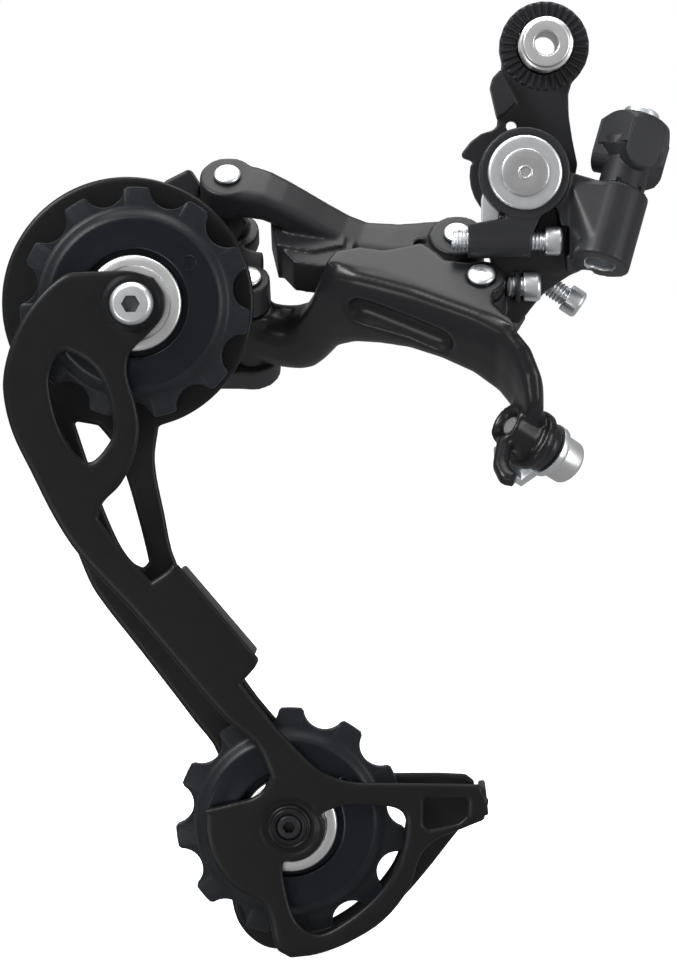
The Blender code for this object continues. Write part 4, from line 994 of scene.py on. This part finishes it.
def build_pulley(name, node, axis, phase):
    """A chain pulley: toothed ring, grained rim band, polished face and a raised hub."""
    place = on_axis(axis, PULLEY_MID)
    half = [(3.5, 3.05), (9.1, 3.05), (9.2, 1.6), (10.0, 1.6), (10.05, 2.9, 0.2), (10.5, 3.1, 0.4),
            (12.5, 2.85, 1.0), (15.7, 2.85, 0.6), (16.5, 2.45, 0.6), (17.6, 1.35, 0.8),
            (18.45, 1.15)]
    corners = half + [(c[0], -c[1], *c[2:]) for c in reversed(half)]
    web = lathe_mesh(filleted(corners), 120)
    mark = lathe_mesh([(1.15, 2.9), (1.25, 2.98), (1.45, 2.98), (1.55, 2.9), (1.5, 2.6),
                       (1.2, 2.6)], 32)
    radius, angle = MARK_PLACE
    spot = Vector((radius * math.cos(angle), radius * math.sin(angle), 0))
    mark.transform(Matrix.Translation(spot * MM))
    body = new_object(name, merged([web, toothed_ring(phase), mark]), PULLEY, place, 30)
    body.data.materials.append(RIM)
    middle = place.translation
    for face in body.data.polygons:
        offset = face.center - middle
        radius = math.hypot(offset.x, offset.z) / MM
        if radius > RIM_START and abs(offset.y) > 0.9 * MM:
            face.material_index = 1
    stands_for(body, name, "pulley_plastic", node)


def build_caps_and_bolts():
    """The pressed dust caps beside the hubs and the two pulley bolts."""
    bore = 2.7
    for axis, stem in ((GUIDE, "guide"), (TENSION, "tension")):
        for side, tail in ((1, "inner"), (-1, "outer")):
            corners = [(bore, 4.1), (5.4, 4.1, 0.1), (5.6, 4.0, 0.1), (6.9, 4.02, 0.1),
                       (7.1, 4.1, 0.1), (8.2, 4.08, 0.3), (8.8, 3.9, 0.2), (9.0, 3.55, 0.1),
                       (8.9, 3.38), (bore, 3.38)]
            if side < 0:
                corners = [(c[0], -c[1], *c[2:]) for c in reversed(corners)]
            node = stem + "_cap_" + tail
            cap = lathe(stem + "_dust_cap_" + tail, corners, on_axis(axis, PULLEY_MID),
                        BRIGHT_STEEL, 80)
            stands_for(cap, "cage", "bright_steel", node)
    top = 16.9
    head = lathe_mesh(filleted([(0, top + 2.4), (3.3, top + 2.4, 0.25), (4.0, top + 1.7, 0.3),
                                (4.0, top - 1.1, 0.1), (2.4, top - 1.2), (2.4, 14.1),
                                (0, 14.1)]), 56)
    head = carved(head, [hex_socket(1.75, top + 0.6, top + 4)])
    bolt = new_object("guide_bolt", head, ZINC, on_axis(GUIDE), 40)
    paint_socket_shade(bolt, on_axis(GUIDE), 1.74, top + 0.4, top + 2.3)
    stands_for(bolt, "cage", "zinc_steel", "guide_pulley_bolt")
    back, tip = 3.7, 16.5
    shank = lathe_mesh(filleted([(0, tip), (1.95, tip, 0.1), (2.4, tip - 0.45, 0.1), (2.4, back),
                                 (4.0, back, 0.1), (4.0, back - 1.8, 0.3), (3.5, back - 2.4, 0.2),
                                 (0, back - 2.4)]), 48)
    shank = carved(shank, [hex_socket(1.2, tip - 1.6, tip + 2),
                           hex_socket(1.75, back - 5, back - 0.8)])
    bolt = new_object("tension_bolt", shank, BLACK_STEEL, on_axis(TENSION), 40)
    stands_for(bolt, "cage", "black_bolt", "tension_pulley_bolt")


def build_boss():
    """The stepped boss of the inner plate round the tension pulley's bolt."""
    boss = lathe("tension_boss", [(2.5, 16.45), (3.2, 16.55, 0.1), (3.4, 16.3, 0.1),
                                  (3.6, 16.3, 0.1), (3.75, 16.5, 0.1), (4.1, 16.3, 0.25),
                                  (4.3, 15.2), (2.5, 15.2)],
                 on_axis(TENSION), PLATE, 64)
    stands_for(boss, "cage", "black_plate")


build_knuckle()
build_boss()
build_cage()
build_pulley("guide_pulley", "guide_pulley", GUIDE, -9.5)
build_pulley("tension_pulley", "tension_pulley", TENSION, 89.5)
build_caps_and_bolts()
